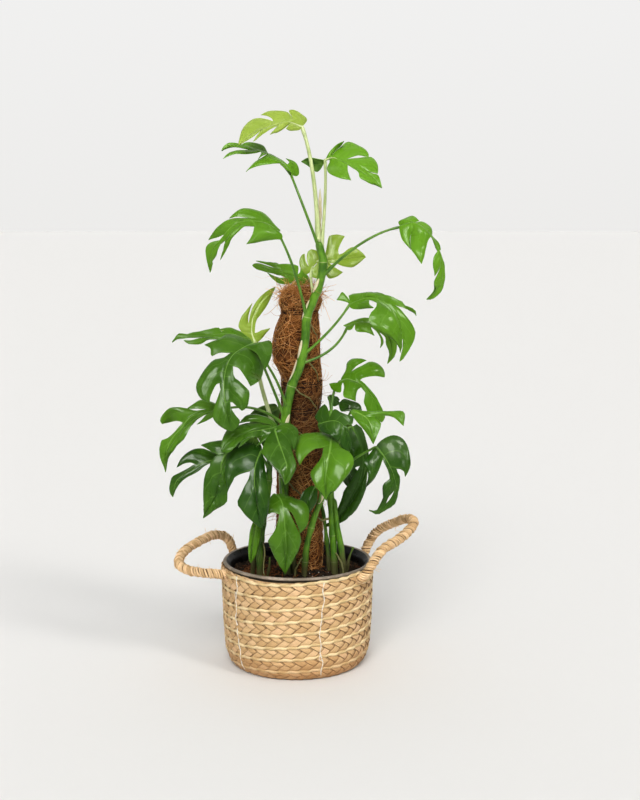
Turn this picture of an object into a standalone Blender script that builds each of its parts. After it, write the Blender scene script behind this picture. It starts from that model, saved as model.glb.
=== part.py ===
"""Climbing plant with split leaves on a coir pole, in a pot inside a plaited basket.

Lengths in the tables are millimetres. The object stands on z = 0, its front looks
along -Y and the basket's middle is on the Z axis.
"""
import math

import bmesh
import bpy
import numpy as np
from mathutils import Matrix

MM = 0.001                  # metres in a millimetre
GAP = 0.3                   # clear space between two pieces that touch

BASKET_HEIGHT = 137.5
BASKET_ROWS = 8             # rows of plait, one above the other
BASKET_STRANDS = 44         # strands in one row
PLAIT_DEPTH = 2.6           # how far the grooves between rows go in
STRAND_RELIEF = 0.8
ROW_RISE = 7.0              # the rows climb this much towards the right
BASKET_OUTER = ((0, 88), (10, 94.5), (24, 99), (60, 101.5), (137.5, 104))   # height, radius
BASKET_INNER = ((8, 86), (137.5, 96))
ROPE_RADIUS = 6.2

POT_FLOOR = 8.3
POT_WALL = 1.6
POT_FOOT_RADIUS = 76.0
POT_TOP_RADIUS = 93.0
POT_RIM_RADIUS = 101.0
POT_RIM_BOTTOM = BASKET_HEIGHT + GAP
POT_RIM_TOP = 142.0

SOIL_EDGE = 123.0
SOIL_CROWN = 8.0            # the soil is this much higher at the middle
SOIL_COLUMNS = 32

POLE_FOOT = 40.0
POLE_FOOT_RADIUS = 30.0
POLE_COLUMNS = 22
# height, middle along X, radius of the bound coir
POLE_PROFILE = ((40, 3, 30), (140, 3, 30), (160, 3, 30.5), (223, 3.5, 30.5), (290, 4, 30), (325, 4, 28),
                (348, 4, 25), (374, 7, 26.5), (393, 6, 26), (413, 0, 30.5), (436, -1, 31), (457, 1, 28.5),
                (477, 4, 23.3), (494, 5, 28), (506, 5, 23), (512, 5, 12))

BLADE_THICKNESS = 0.8
PETIOLE_FOOT = 2.1          # radius where a leaf stalk leaves its stem
PETIOLE_TOP = 1.5

# Shape of one side of a blade of length 1. Veins are numbered from 0 at the heart-shaped
# back to 1 at the tip: where each leaves the midrib, its angle and its length.
VEIN_NUMBER = (0.0, 0.10, 0.22, 0.42, 0.62, 0.80, 0.92, 1.0)
VEIN_START = (0.0, 0.01, 0.03, 0.19, 0.40, 0.62, 0.82, 1.0)
VEIN_ANGLE = (148, 122, 98, 76, 62, 50, 38, 20)
VEIN_LENGTH = (0.12, 0.26, 0.37, 0.42, 0.38, 0.27, 0.115, 0.0)
VEIN_BEND = 34.0
# Cuts between lobes: vein number in the middle, width, share of that width at the margin.
ONE_CUT = ((0.50, 0.10, 0.5),)
TWO_CUTS = ((0.36, 0.09, 0.45), (0.64, 0.09, 0.5))
CUT_SHARE = (0.2, 0.45, 0.85, 1.0)
CUT_PLACE = (0.0, 0.18, 0.3, 0.5)
FINE_COLUMNS = (0.0, 0.18, 0.6, 1.0)     # shares of the veins where the blade has points
PLAIN_COLUMNS = (0.0, 0.22, 1.0)

# Centrelines of the stems and their radii at the foot and at the top.
STEMS = {
    "vine": (((-12, -36, 60), (-13, -35, 150), (-17, -33, 230), (-16, -33, 297), (-14, -34, 345),
              (-6, -34, 384), (2, -36, 403), (8, -38, 424), (12, -37, 449), (14, -36, 474),
              (23, -36, 498), (32, -37, 523), (35, -38, 546), (32, -38, 560), (28, -38, 574)), 6.2, 4.6),
    "centre": (((8, -44, 80), (12, -46, 160), (22, -46, 205), (36, -46, 245), (43, -45, 283)), 4.5, 3.6),
    "right": (((52, -30, 80), (50, -30, 150), (45, -28, 243), (44, -26, 310), (46, -24, 352)), 5.2, 4.0),
    "left": (((-50, -42, 80), (-49, -43, 160), (-44, -44, 205), (-37, -44, 250), (-35, -43, 306)), 4.6, 3.6),
    "back": (((14, 46, 80), (10, 46, 200), (2, 45, 280), (-4, 44, 340)), 4.6, 3.8),
}

SOIL_BROWN = (0.035, 0.022, 0.015)
STRAW = (0.62, 0.44, 0.24)
COIR = (0.30, 0.13, 0.055)
STEM_GREEN = (0.13, 0.30, 0.05)
DEEP_GREEN = (0.035, 0.16, 0.03)
LEAF_GREEN = (0.06, 0.24, 0.04)
PALE_GREEN = (0.14, 0.34, 0.06)
LIME_GREEN = (0.28, 0.45, 0.06)


def clear_scene():
    for item in list(bpy.data.objects):
        bpy.data.objects.remove(item, do_unlink=True)


def collection_named(name, hidden=False):
    group = bpy.data.collections.new(name)
    bpy.context.scene.collection.children.link(group)
    group.hide_render = hidden
    return group


def give_material(piece, colour, roughness, metallic=0.0):
    material = bpy.data.materials.new(piece.name + "_material")
    material.use_nodes = True
    shader = material.node_tree.nodes["Principled BSDF"]
    shader.inputs["Base Color"].default_value = (*colour, 1.0)
    shader.inputs["Roughness"].default_value = roughness
    shader.inputs["Metallic"].default_value = metallic
    piece.data.materials.clear()
    piece.data.materials.append(material)


def face_out(mesh):
    shell = bmesh.new()
    shell.from_mesh(mesh)
    bmesh.ops.recalc_face_normals(shell, faces=shell.faces)
    shell.to_mesh(mesh)
    shell.free()


def finish(piece, colour, roughness, sharp=35.0):
    """Faces out, smooth shading and the piece's own material."""
    face_out(piece.data)
    piece.data.shade_smooth()
    piece.data.set_sharp_from_angle(angle=math.radians(sharp))
    give_material(piece, colour, roughness)
    return piece


def piece_from_faces(name, points, faces, group, weld=0.01):
    """Object from points in millimetres, with double points welded."""
    mesh = bpy.data.meshes.new(name)
    mesh.from_pydata([tuple(float(c) * MM for c in p) for p in points], [], faces)
    shell = bmesh.new()
    shell.from_mesh(mesh)
    bmesh.ops.remove_doubles(shell, verts=shell.verts, dist=weld * MM)
    bmesh.ops.recalc_face_normals(shell, faces=shell.faces)
    shell.to_mesh(mesh)
    shell.free()
    piece = bpy.data.objects.new(name, mesh)
    group.objects.link(piece)
    return piece


def lathe(name, outline, steps, group):
    """Turned solid from an outline of (radius, height) that starts and ends on the axis."""
    mesh = bpy.data.meshes.new(name)
    points = [(r * MM, 0.0, z * MM) for r, z in outline]
    mesh.from_pydata(points, [(i, i + 1) for i in range(len(points) - 1)], [])
    piece = bpy.data.objects.new(name, mesh)
    group.objects.link(piece)
    screw = piece.modifiers.new("turn", "SCREW")
    screw.steps = steps
    screw.render_steps = steps
    screw.use_merge_vertices = True
    screw.merge_threshold = 0.00005
    apply_modifiers(piece)
    face_out(piece.data)
    return piece


def apply_modifiers(piece):
    bpy.context.view_layer.update()
    evaluated = piece.evaluated_get(bpy.context.evaluated_depsgraph_get())
    mesh = bpy.data.meshes.new_from_object(evaluated)
    piece.modifiers.clear()
    piece.data = mesh


def boolean(piece, other, operation):
    cut = piece.modifiers.new(operation.lower(), "BOOLEAN")
    cut.object = other
    cut.operation = operation
    cut.solver = "EXACT"
    apply_modifiers(piece)
    shell = bmesh.new()
    shell.from_mesh(piece.data)
    bmesh.ops.remove_doubles(shell, verts=shell.verts, dist=0.000002)
    bmesh.ops.dissolve_degenerate(shell, edges=shell.edges, dist=0.000002)
    shell.to_mesh(piece.data)
    shell.free()


def smooth_path(points, per_span):
    """Points of a rounded curve through the given ones."""
    p = np.array(points, float)
    ends = np.vstack([2 * p[0] - p[1], p, 2 * p[-1] - p[-2]])
    path = []
    for i in range(len(p) - 1):
        a, b, c, d = ends[i:i + 4]
        for k in range(per_span):
            t = k / per_span
            path.append(0.5 * (2 * b + (c - a) * t + (2 * a - 5 * b + 4 * c - d) * t**2
                               + (3 * b - a - 3 * c + d) * t**3))
    path.append(p[-1])
    return np.array(path)


def tube(name, path, radii, level, group):
    """Round bar along a path, closed at both ends."""
    curve = bpy.data.curves.new(name, "CURVE")
    curve.dimensions = "3D"
    curve.bevel_depth = 1.0
    curve.bevel_resolution = level
    curve.use_fill_caps = True
    spline = curve.splines.new("POLY")
    spline.points.add(len(path) - 1)
    for point, place, radius in zip(spline.points, path, radii):
        point.co = (*(float(c) * MM for c in place), 1.0)
        point.radius = float(radius) * MM
    bar = bpy.data.objects.new(name, curve)
    group.objects.link(bar)
    bpy.context.view_layer.update()
    mesh = bpy.data.meshes.new_from_object(bar.evaluated_get(bpy.context.evaluated_depsgraph_get()))
    mesh.transform(bar.matrix_world)
    bpy.data.objects.remove(bar, do_unlink=True)
    shell = bmesh.new()
    shell.from_mesh(mesh)
    bmesh.ops.remove_doubles(shell, verts=shell.verts, dist=0.00001)
    bmesh.ops.recalc_face_normals(shell, faces=shell.faces)
    shell.to_mesh(mesh)
    shell.free()
    piece = bpy.data.objects.new(name, mesh)
    group.objects.link(piece)
    return piece


def stem_path(stem, per_span=2):
    points, foot, top = STEMS[stem]
    path = smooth_path(points, per_span)
    return path, np.linspace(foot, top, len(path))


def stem_point(stem, height):
    path, radii = stem_path(stem, 4)
    return np.array([np.interp(height, path[:, 2], path[:, k]) for k in range(3)])


def clearance(stem, name):
    """The stem's outline made larger by the gap, to cut other pieces with."""
    path, radii = stem_path(stem)
    path = path.copy()
    start = path[0] - path[1]
    end = path[-1] - path[-2]
    path[0] += start / np.linalg.norm(start) * GAP
    path[-1] += end / np.linalg.norm(end) * GAP
    cutter = tube(name, path, (radii + GAP) / math.cos(math.pi / 8), 2, cutters)
    cutter.hide_render = True
    cutter.display_type = "WIRE"
    return cutter


def follow(number, table):
    """Value of a table of the veins at any vein number, rounded between its points."""
    x = np.array(VEIN_NUMBER)
    y = np.array(table, float)
    width = np.diff(x)
    slope = np.diff(y) / width
    tangent = np.zeros(len(x))
    for i in range(1, len(x) - 1):
        if slope[i - 1] * slope[i] > 0:
            a = 2 * width[i] + width[i - 1]
            b = width[i] + 2 * width[i - 1]
            tangent[i] = (a + b) / (a / slope[i - 1] + b / slope[i])
    tangent[0] = slope[0]
    tangent[-1] = slope[-1]
    number = np.clip(number, 0.0, 1.0)
    i = np.clip(np.searchsorted(x, number) - 1, 0, len(x) - 2)
    t = (number - x[i]) / width[i]
    return ((2 * t**3 - 3 * t**2 + 1) * y[i] + (t**3 - 2 * t**2 + t) * width[i] * tangent[i]
            + (3 * t**2 - 2 * t**3) * y[i + 1] + (t**3 - t**2) * width[i] * tangent[i + 1])


def vein_point(number, share, width):
    """Place on the flat blade, along and across, at a share of a vein's length."""
    reach = follow(number, VEIN_LENGTH) * width
    bend = math.radians(VEIN_BEND)
    start = np.radians(follow(number, VEIN_ANGLE)) + bend / 2
    along = (np.sin(start) - np.sin(start - bend * share)) / bend
    across = (np.cos(start - bend * share) - np.cos(start)) / bend
    return follow(number, VEIN_START) + reach * along, reach * across


def cut_half_width(cut, shares):
    middle, width, mouth = cut
    places = CUT_PLACE + (0.8, 1.0)
    widths = CUT_SHARE + (0.55 + 0.45 * mouth, mouth)
    return 0.5 * width * np.interp(shares, places, widths)


def flat_side(cuts, width, whole, fine):
    """Rows of flat points of one side, and after which rows a cut opens."""
    shares = np.array(FINE_COLUMNS if fine else PLAIN_COLUMNS)
    edges = [0.0] + [cut[0] for cut in cuts] + [1.0]
    rows = []
    opens = []
    for lobe in range(len(edges) - 1):
        first = lobe == 0
        last = lobe == len(cuts)
        rear = edges[lobe] + (0.0 if first else cut_half_width(cuts[lobe - 1], shares)) + 0 * shares
        front = edges[lobe + 1] - (0.0 if last else cut_half_width(cuts[lobe], shares)) + 0 * shares
        count = 2 if fine or last else 1
        for k in range(count + 1):
            p = k / count
            back = 1.0 if first or whole else 1 - 0.24 * (1 - p) ** 2
            point = 1.0 if last or whole else 1 + 0.12 * p**3
            along, across = vein_point(rear * (1 - p) + front * p, shares * back * point, width)
            rows.append(np.stack([along, across], -1))
            opens.append(k == count and not last and not whole)
    return np.array(rows), opens


def midrib(base, middle, tip):
    base, middle, tip = (np.array(p, float) for p in (base, middle, tip))
    handle = 2 * middle - (base + tip) / 2
    s = np.linspace(0, 1, 60)[:, None]
    line = (1 - s) ** 2 * base + 2 * s * (1 - s) * handle + s**2 * tip
    steps = np.linalg.norm(np.diff(line, axis=0), axis=1)
    return line, np.concatenate([[0.0], np.cumsum(steps)])


def bend_blade(rows, line, distance, ups, droop, hand):
    """Flat rows laid on the midrib in space; droop is the rise at the midrib and the curl."""
    length = distance[-1]
    along = rows[..., 0]
    inside = np.clip(along, 0, 1)
    x = inside * length
    directions = np.gradient(line, distance, axis=0)
    spot = np.stack([np.interp(x, distance, line[:, k]) for k in range(3)], -1)
    ahead = np.stack([np.interp(x, distance, directions[:, k]) for k in range(3)], -1)
    ahead /= np.linalg.norm(ahead, axis=-1, keepdims=True)
    spot = spot + ahead * ((along - inside) * length)[..., None]
    start, end = (np.array(v, float) / np.linalg.norm(v) for v in ups)
    up = start * (1 - inside[..., None]) + end * inside[..., None]
    up = up - ahead * (up * ahead).sum(-1, keepdims=True)
    up /= np.linalg.norm(up, axis=-1, keepdims=True)
    sideways = np.cross(ahead, up) * hand
    rise = math.radians(droop[0])
    curl = math.radians(max(droop[1], 0.1)) / 0.38
    across = (math.sin(rise) - np.sin(rise - curl * rows[..., 1])) / curl
    lift = (np.cos(rise - curl * rows[..., 1]) - math.cos(rise)) / curl
    return spot + length * (sideways * across[..., None] + up * lift[..., None])


def blade(name, line, distance, ups, widths, droops, cuts, whole, fine):
    """Thin solid blade of both sides, with the same triangles on both faces."""
    points = []
    faces = []
    for hand, width, droop, mark in ((1, widths[1], droops[1], "r"), (-1, widths[0], droops[0], "l")):
        rows, opens = flat_side(cuts, width, mark in whole, fine)
        bent = bend_blade(rows, line, distance, ups, droop, hand)
        first = len(points)
        columns = rows.shape[1]
        points.extend(bent.reshape(-1, 3))
        for i in range(len(rows) - 1):
            for k in range(1 if opens[i] else columns - 1):
                a = first + i * columns + k
                faces.append((a, a + 1, a + columns + 1, a + columns)[::hand])
    piece = piece_from_faces(name, points, faces, parts)
    shell = bmesh.new()
    shell.from_mesh(piece.data)
    bmesh.ops.triangulate(shell, faces=shell.faces)
    shell.to_mesh(piece.data)
    shell.free()
    solid = piece.modifiers.new("thickness", "SOLIDIFY")
    solid.thickness = BLADE_THICKNESS * MM
    solid.offset = 0.0
    apply_modifiers(piece)
    return piece


def leaf(name, stem, height, bow, base, middle, tip, up_at_base, up_at_tip, width_left, width_right,
         left, right, cuts, whole="", fine=True, colour=LEAF_GREEN):
    """Blade and stalk; the stalk's foot is cut to the outline of the stem it grows on."""
    line, distance = midrib(base, middle, tip)
    piece = blade(name, line, distance, (up_at_base, up_at_tip), (width_left, width_right),
                  (left, right), cuts, whole, fine)
    root = stem_point(stem, height)
    handle = 2 * np.array(bow, float) - (root + np.array(base, float)) / 2
    s = np.linspace(0, 1, 5)[:, None]
    stalk = (1 - s) ** 2 * root + 2 * s * (1 - s) * handle + s**2 * np.array(base, float)
    onward = [np.interp(0.085 * distance[-1], distance, line[:, k]) for k in range(3)]
    stalk = np.vstack([stalk, onward])
    radii = np.append(np.linspace(PETIOLE_FOOT, PETIOLE_TOP, 5), 0.7)
    bar = tube(name + "_stalk", stalk, radii, 1, cutters)
    boolean(bar, stem_cutters[stem], "DIFFERENCE")
    boolean(piece, bar, "UNION")
    bpy.data.objects.remove(bar, do_unlink=True)
    return finish(piece, colour, 0.35)


def basket_radius(height):
    heights, radii = zip(*BASKET_OUTER)
    return float(np.interp(height, heights, radii))


def build_basket():
    """Wall of plaited rows: ridges between grooves, strands slanting both ways from each ridge."""
    columns = 2 * BASKET_STRANDS
    levels = 2 * BASKET_ROWS
    turn = 2 * math.pi / columns
    points = [(0, 0, 0)]
    for level in range(levels + 1):
        ridge = level % 2 == 1
        height = BASKET_HEIGHT * level / levels
        edge = level in (0, levels)
        for k in range(columns):
            angle = turn * (k + (0.8 if ridge else 0.0))
            climb = 0.0 if edge else ROW_RISE * math.cos(angle) * math.sin(math.pi * height / BASKET_HEIGHT)
            radius = basket_radius(height) - (0.0 if ridge else PLAIT_DEPTH)
            radius += (STRAND_RELIEF if ridge else 0.3) * (1 if k % 2 else -1)
            points.append((radius * math.cos(angle), radius * math.sin(angle), height + climb))
    for height, radius in BASKET_INNER[::-1]:
        for k in range(columns):
            points.append((radius * math.cos(turn * k), radius * math.sin(turn * k), height))
    points.append((0, 0, BASKET_INNER[0][0]))
    rings = (len(points) - 2) // columns
    faces = []
    for k in range(columns):
        n = (k + 1) % columns
        faces.append((0, 1 + n, 1 + k))
        faces.append((len(points) - 1, 1 + (rings - 1) * columns + k, 1 + (rings - 1) * columns + n))
        for ring in range(rings - 1):
            a = 1 + ring * columns
            faces.append((a + k, a + n, a + columns + n, a + columns + k))
    body = piece_from_faces("basket_body", points, faces, parts)
    return finish(body, STRAW, 0.8, 50)


def build_handle(name, points):
    """Wrapped rope loop whose ends stop just short of the basket's wall."""
    path = smooth_path(points, 3)
    radii = [ROPE_RADIUS + (0.35 if i % 2 else -0.25) for i in range(len(path))]
    rope = tube(name, path, radii, 2, parts)
    wall = [(0, -20)] + [(r + STRAND_RELIEF + 2 * GAP, z) for z, r in BASKET_OUTER] + [(0, BASKET_HEIGHT)]
    plug = lathe(name + "_plug", [(0, 0)] + wall[1:], 96, cutters)
    boolean(rope, plug, "DIFFERENCE")
    bpy.data.objects.remove(plug, do_unlink=True)
    return finish(rope, STRAW, 0.8, 50)


def pot_inner_radius(height):
    slope = (POT_TOP_RADIUS - POT_FOOT_RADIUS) / (POT_RIM_BOTTOM - POT_FLOOR)
    return POT_FOOT_RADIUS + slope * (height - POT_FLOOR) - POT_WALL


def build_pot():
    floor = POT_FLOOR + POT_WALL
    outline = [(0, POT_FLOOR), (POT_FOOT_RADIUS - 3, POT_FLOOR), (POT_FOOT_RADIUS, POT_FLOOR + 3),
               (POT_TOP_RADIUS, POT_RIM_BOTTOM), (POT_RIM_RADIUS - 0.6, POT_RIM_BOTTOM),
               (POT_RIM_RADIUS, POT_RIM_BOTTOM + 0.8), (POT_RIM_RADIUS, POT_RIM_TOP - 1.2),
               (POT_RIM_RADIUS - 1.2, POT_RIM_TOP), (POT_RIM_RADIUS - 5, POT_RIM_TOP),
               (pot_inner_radius(POT_RIM_BOTTOM), POT_RIM_BOTTOM - 2),
               (pot_inner_radius(floor), floor), (0, floor)]
    pot = lathe("nursery_pot", outline, 40, parts)
    return finish(pot, (0.20, 0.17, 0.14), 0.4, 30)


def soil_height(x, y):
    radius = math.hypot(x, y)
    fade = min(1.0, max(0.0, (88 - radius) / 20))
    lumps = 1.3 * math.sin(0.11 * x + 1.0) * math.cos(0.13 * y) + 0.9 * math.sin(0.21 * y + 0.08 * x)
    return SOIL_EDGE + SOIL_CROWN * (1 - (radius / 90) ** 2) + fade * lumps


def build_soil():
    floor = POT_FLOOR + POT_WALL + GAP
    points = [(0, 0, soil_height(0, 0))]
    edge = pot_inner_radius(SOIL_EDGE) - 2 * GAP
    rings = (24, 44, 60, 76, edge)
    for radius in rings:
        for k in range(SOIL_COLUMNS):
            angle = 2 * math.pi * k / SOIL_COLUMNS
            x, y = radius * math.cos(angle), radius * math.sin(angle)
            points.append((x, y, SOIL_EDGE if radius == edge else soil_height(x, y)))
    low = pot_inner_radius(floor) - 2 * GAP
    points += [(low * math.cos(2 * math.pi * k / SOIL_COLUMNS), low * math.sin(2 * math.pi * k / SOIL_COLUMNS),
                floor) for k in range(SOIL_COLUMNS)]
    points.append((0, 0, floor))
    faces = []
    for k in range(SOIL_COLUMNS):
        n = (k + 1) % SOIL_COLUMNS
        faces.append((0, 1 + k, 1 + n))
        faces.append((len(points) - 1, 1 + 5 * SOIL_COLUMNS + n, 1 + 5 * SOIL_COLUMNS + k))
        for ring in range(5):
            a = 1 + ring * SOIL_COLUMNS
            b = a + SOIL_COLUMNS
            faces.append((a + k, b + k, b + n, a + n))
    soil = piece_from_faces("potting_soil", points, faces, parts)
    for stem, cutter in stem_cutters.items():
        boolean(soil, cutter, "DIFFERENCE")
    hole = (POLE_FOOT_RADIUS + GAP) / math.cos(math.pi / POLE_COLUMNS)
    bore = lathe("pole_bore", [(0, POLE_FOOT - GAP), (hole, POLE_FOOT - GAP), (hole, 160), (0, 160)],
                 POLE_COLUMNS, cutters)
    bore.data.transform(Matrix.Translation((POLE_PROFILE[0][1] * MM, 0, 0)))
    boolean(soil, bore, "DIFFERENCE")
    bpy.data.objects.remove(bore, do_unlink=True)
    return finish(soil, SOIL_BROWN, 0.95, 60)


def build_pole():
    """Coir bound round a stake: bulges, waists and a rough surface above the soil."""
    heights, middles, radii = (np.array(column, float) for column in zip(*POLE_PROFILE))
    levels = np.concatenate([[POLE_FOOT, 140], np.linspace(156, 506, 17), [512]])
    points = [(middles[0], 0, POLE_FOOT)]
    for i, height in enumerate(levels):
        rough = 0.0 if height < 150 else 0.9
        for k in range(POLE_COLUMNS):
            angle = 2 * math.pi * k / POLE_COLUMNS
            radius = np.interp(height, heights, radii)
            radius += rough * math.sin(3.7 * k + 2.3 * i) * math.cos(1.9 * k * i + 0.5)
            points.append((np.interp(height, heights, middles) + radius * math.cos(angle),
                           radius * math.sin(angle), height))
    points.append((middles[-1], 0, 513))
    faces = []
    for k in range(POLE_COLUMNS):
        n = (k + 1) % POLE_COLUMNS
        faces.append((0, 1 + n, 1 + k))
        top = 1 + (len(levels) - 1) * POLE_COLUMNS
        faces.append((len(points) - 1, top + k, top + n))
        for ring in range(len(levels) - 1):
            a = 1 + ring * POLE_COLUMNS
            faces.append((a + k, a + n, a + POLE_COLUMNS + n, a + POLE_COLUMNS + k))
    pole = piece_from_faces("coir_pole", points, faces, parts)
    return finish(pole, COIR, 0.95, 40)


def build_stem(name, stem, colour, swell=()):
    path, radii = stem_path(stem)
    for height in swell:
        radii = radii + 0.8 * np.exp(-((path[:, 2] - height) / 7.0) ** 2)
    return finish(tube(name, path, np.minimum(radii, radii), 2, parts), colour, 0.4)


clear_scene()
parts = collection_named("potted_philodendron")
cutters = collection_named("cutters", hidden=True)
stem_cutters = {stem: clearance(stem, stem + "_clearance") for stem in STEMS}

build_basket()
build_handle("basket_handle_left", (
    (-88, -34, 129), (-101, -39, 130), (-122, -45, 134), (-146, -35, 135), (-160, -15, 139),
    (-157, 10, 147), (-137, 35, 157), (-114, 57, 161), (-99, 65, 152), (-93, 62, 140), (-88, 58, 131), (-79, 52, 126)))
build_handle("basket_handle_right", (
    (75, -56, 126), (85, -64, 131), (94, -66, 142), (104, -58, 156), (117, -42, 167), (136, -25, 174),
    (152, -5, 182), (160, 15, 189), (153, 36, 189), (136, 52, 180), (114, 60, 167), (101, 62, 151),
    (96, 59, 139), (90, 56, 130), (80, 50, 126)))
build_pot()
build_soil()
build_pole()
build_stem("vine", "vine", STEM_GREEN, (384, 474, 546))
build_stem("stem_centre", "centre", STEM_GREEN)
build_stem("stem_right", "right", STEM_GREEN)
build_stem("stem_left", "left", STEM_GREEN)
build_stem("stem_back", "back", STEM_GREEN)
sheath = tube("papery_sheath", smooth_path(((29, -35, 566), (30, -28, 590), (31, -26, 615), (31, -25, 640)), 2),
              (2.4, 2.4, 2.3, 2.2, 1.9, 1.4, 0.8), 1, parts)
boolean(sheath, stem_cutters["vine"], "DIFFERENCE")
finish(sheath, (0.70, 0.60, 0.38), 0.6)

leaf("leaf_top_lime", "vine", 572,
     bow=(22, -40, 657), base=(8, -31, 718), middle=(-30, -45, 718), tip=(-72, -60, 695),
     up_at_base=(0, -0.42, 0.9), up_at_tip=(-0.2, -0.5, 0.8),
     width_left=0.85, width_right=0.95, left=(17, 18), right=(10, 6), cuts=TWO_CUTS,
     colour=LIME_GREEN)
leaf("leaf_top_left", "vine", 552,
     bow=(8, -46, 621), base=(-7, -25, 658), middle=(-42, -25, 687), tip=(-96, -20, 686),
     up_at_base=(0, -0.05, 1), up_at_tip=(0, -0.1, 1),
     width_left=0.8, width_right=0.85, left=(0, 40), right=(20, 0), cuts=TWO_CUTS)
leaf("leaf_top_right", "vine", 559,
     bow=(35, -32, 625), base=(38, -35, 675), middle=(72, -50, 672), tip=(109, -60, 640),
     up_at_base=(0.1, -0.75, 0.65), up_at_tip=(0.3, -0.75, 0.5),
     width_left=1, width_right=0.9, left=(8, 10), right=(5, 25), cuts=TWO_CUTS)
leaf("leaf_upper_left", "vine", 472,
     bow=(-2, -54, 536), base=(-24, -55, 586), middle=(-72, -62, 591), tip=(-111, -60, 534),
     up_at_base=(-0.2, -0.45, 0.9), up_at_tip=(-0.7, -0.45, 0.3),
     width_left=0.9, width_right=0.7, left=(5, 35), right=(10, 25), cuts=TWO_CUTS)
leaf("leaf_upper_right", "vine", 526,
     bow=(85, -48, 571), base=(133, -52, 593), middle=(187, -59, 575), tip=(169, -62, 500),
     up_at_base=(-0.1, -0.45, 0.9), up_at_tip=(1, -0.25, 0.1),
     width_left=0.5, width_right=0.75, left=(5, 40), right=(-5, 50), cuts=TWO_CUTS)
leaf("leaf_young_lime", "vine", 512,
     bow=(17, -22, 519), base=(17, -10, 533), middle=(52, -8, 548), tip=(91, 5, 552),
     up_at_base=(0, -0.95, 0.3), up_at_tip=(0.1, -0.9, 0.3),
     width_left=1, width_right=0.72, left=(8, 0), right=(8, 0), cuts=TWO_CUTS,
     colour=LIME_GREEN)
leaf("leaf_above_pole", "vine", 500,
     bow=(19, -8, 517), base=(4, 25, 521), middle=(-28, 22, 529), tip=(-58, 10, 540),
     up_at_base=(0, -0.4, 0.93), up_at_tip=(0, -0.4, 0.93),
     width_left=0.9, width_right=0.9, left=(10, 0), right=(10, 0), cuts=TWO_CUTS,
     fine=False)
leaf("leaf_right_upper", "vine", 424,
     bow=(44, -46, 458), base=(69, -45, 490), middle=(122, -62, 492), tip=(133, -75, 421),
     up_at_base=(0, -0.15, 1), up_at_tip=(0.3, -0.9, 0.2),
     width_left=0.75, width_right=0.9, left=(10, 45), right=(5, 25), cuts=TWO_CUTS)
leaf("leaf_right_behind", "vine", 414,
     bow=(41, -34, 426), base=(67, -10, 457), middle=(101, -6, 463), tip=(121, 0, 409),
     up_at_base=(0, -0.1, 1), up_at_tip=(0.8, -0.3, 0.3),
     width_left=0.75, width_right=0.75, left=(5, 30), right=(0, 30), cuts=TWO_CUTS,
     fine=False)
leaf("leaf_left_pale", "vine", 296,
     bow=(-44, -8, 391), base=(-54, -12, 439), middle=(-54, -4, 479), tip=(-31, 10, 511),
     up_at_base=(0.5, -0.6, 0.6), up_at_tip=(0.6, -0.6, 0.1),
     width_left=0.72, width_right=0.72, left=(15, 0), right=(10, 0), cuts=TWO_CUTS,
     fine=False, colour=LIME_GREEN)
leaf("leaf_left_level", "vine", 338,
     bow=(-42, -38, 411), base=(-82, -28, 454), middle=(-118, -29, 461), tip=(-163, -30, 442),
     up_at_base=(0, -0.15, 1), up_at_tip=(0, -0.15, 1),
     width_left=0.58, width_right=0.75, left=(5, 30), right=(5, 10), cuts=TWO_CUTS,
     fine=False)
leaf("leaf_left_great", "vine", 352,
     bow=(-27, -60, 397), base=(-58, -75, 440), middle=(-84, -104, 405), tip=(-80, -130, 338),
     up_at_base=(-0.2, -0.7, 0.7), up_at_tip=(0, -1, 0.1),
     width_left=1, width_right=1, left=(5, 25), right=(5, 20), cuts=TWO_CUTS)
leaf("leaf_right_pale", "right", 340,
     bow=(44, -14, 368), base=(57, -14, 387), middle=(92, -18, 382), tip=(115, -18, 334),
     up_at_base=(0, -0.6, 0.7), up_at_tip=(0.4, -0.8, 0.3),
     width_left=0.85, width_right=0.9, left=(12, 5), right=(5, 20), cuts=TWO_CUTS,
     colour=PALE_GREEN)
leaf("leaf_left_outer", "vine", 330,
     bow=(-53, -46, 355), base=(-88, -62, 357), middle=(-141, -75, 350), tip=(-169, -80, 279),
     up_at_base=(-0.1, -0.4, 0.9), up_at_tip=(-0.8, -0.5, 0.1),
     width_left=0.8, width_right=0.8, left=(5, 30), right=(8, 20), cuts=TWO_CUTS)
leaf("leaf_left_lower", "left", 262,
     bow=(-66, -56, 290), base=(-97, -62, 293), middle=(-134, -70, 289), tip=(-161, -74, 243),
     up_at_base=(-0.1, -0.5, 0.85), up_at_tip=(-0.8, -0.5, 0.2),
     width_left=0.85, width_right=0.85, left=(5, 30), right=(8, 15), cuts=TWO_CUTS)
leaf("leaf_front_left", "left", 285,
     bow=(-35, -68, 302), base=(-43, -90, 312), middle=(-50, -115, 274), tip=(-43, -122, 214),
     up_at_base=(0, -0.8, 0.6), up_at_tip=(0, -1, 0.1),
     width_left=0.6, width_right=0.8, left=(5, 25), right=(5, 25), cuts=TWO_CUTS)
leaf("leaf_front_left_low", "left", 272,
     bow=(-51, -62, 298), base=(-72, -78, 318), middle=(-94, -98, 286), tip=(-119, -104, 223),
     up_at_base=(-0.1, -0.7, 0.7), up_at_tip=(-0.1, -1, 0.2),
     width_left=0.75, width_right=0.75, left=(5, 30), right=(5, 20), cuts=TWO_CUTS)
leaf("leaf_middle_left", "vine", 312,
     bow=(-20, -66, 322), base=(-27, -84, 332), middle=(-63, -104, 344), tip=(-92, -118, 311),
     up_at_base=(0, -0.5, 0.85), up_at_tip=(-0.5, -0.7, 0.3),
     width_left=1, width_right=1, left=(5, 30), right=(8, 15), cuts=TWO_CUTS)
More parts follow.
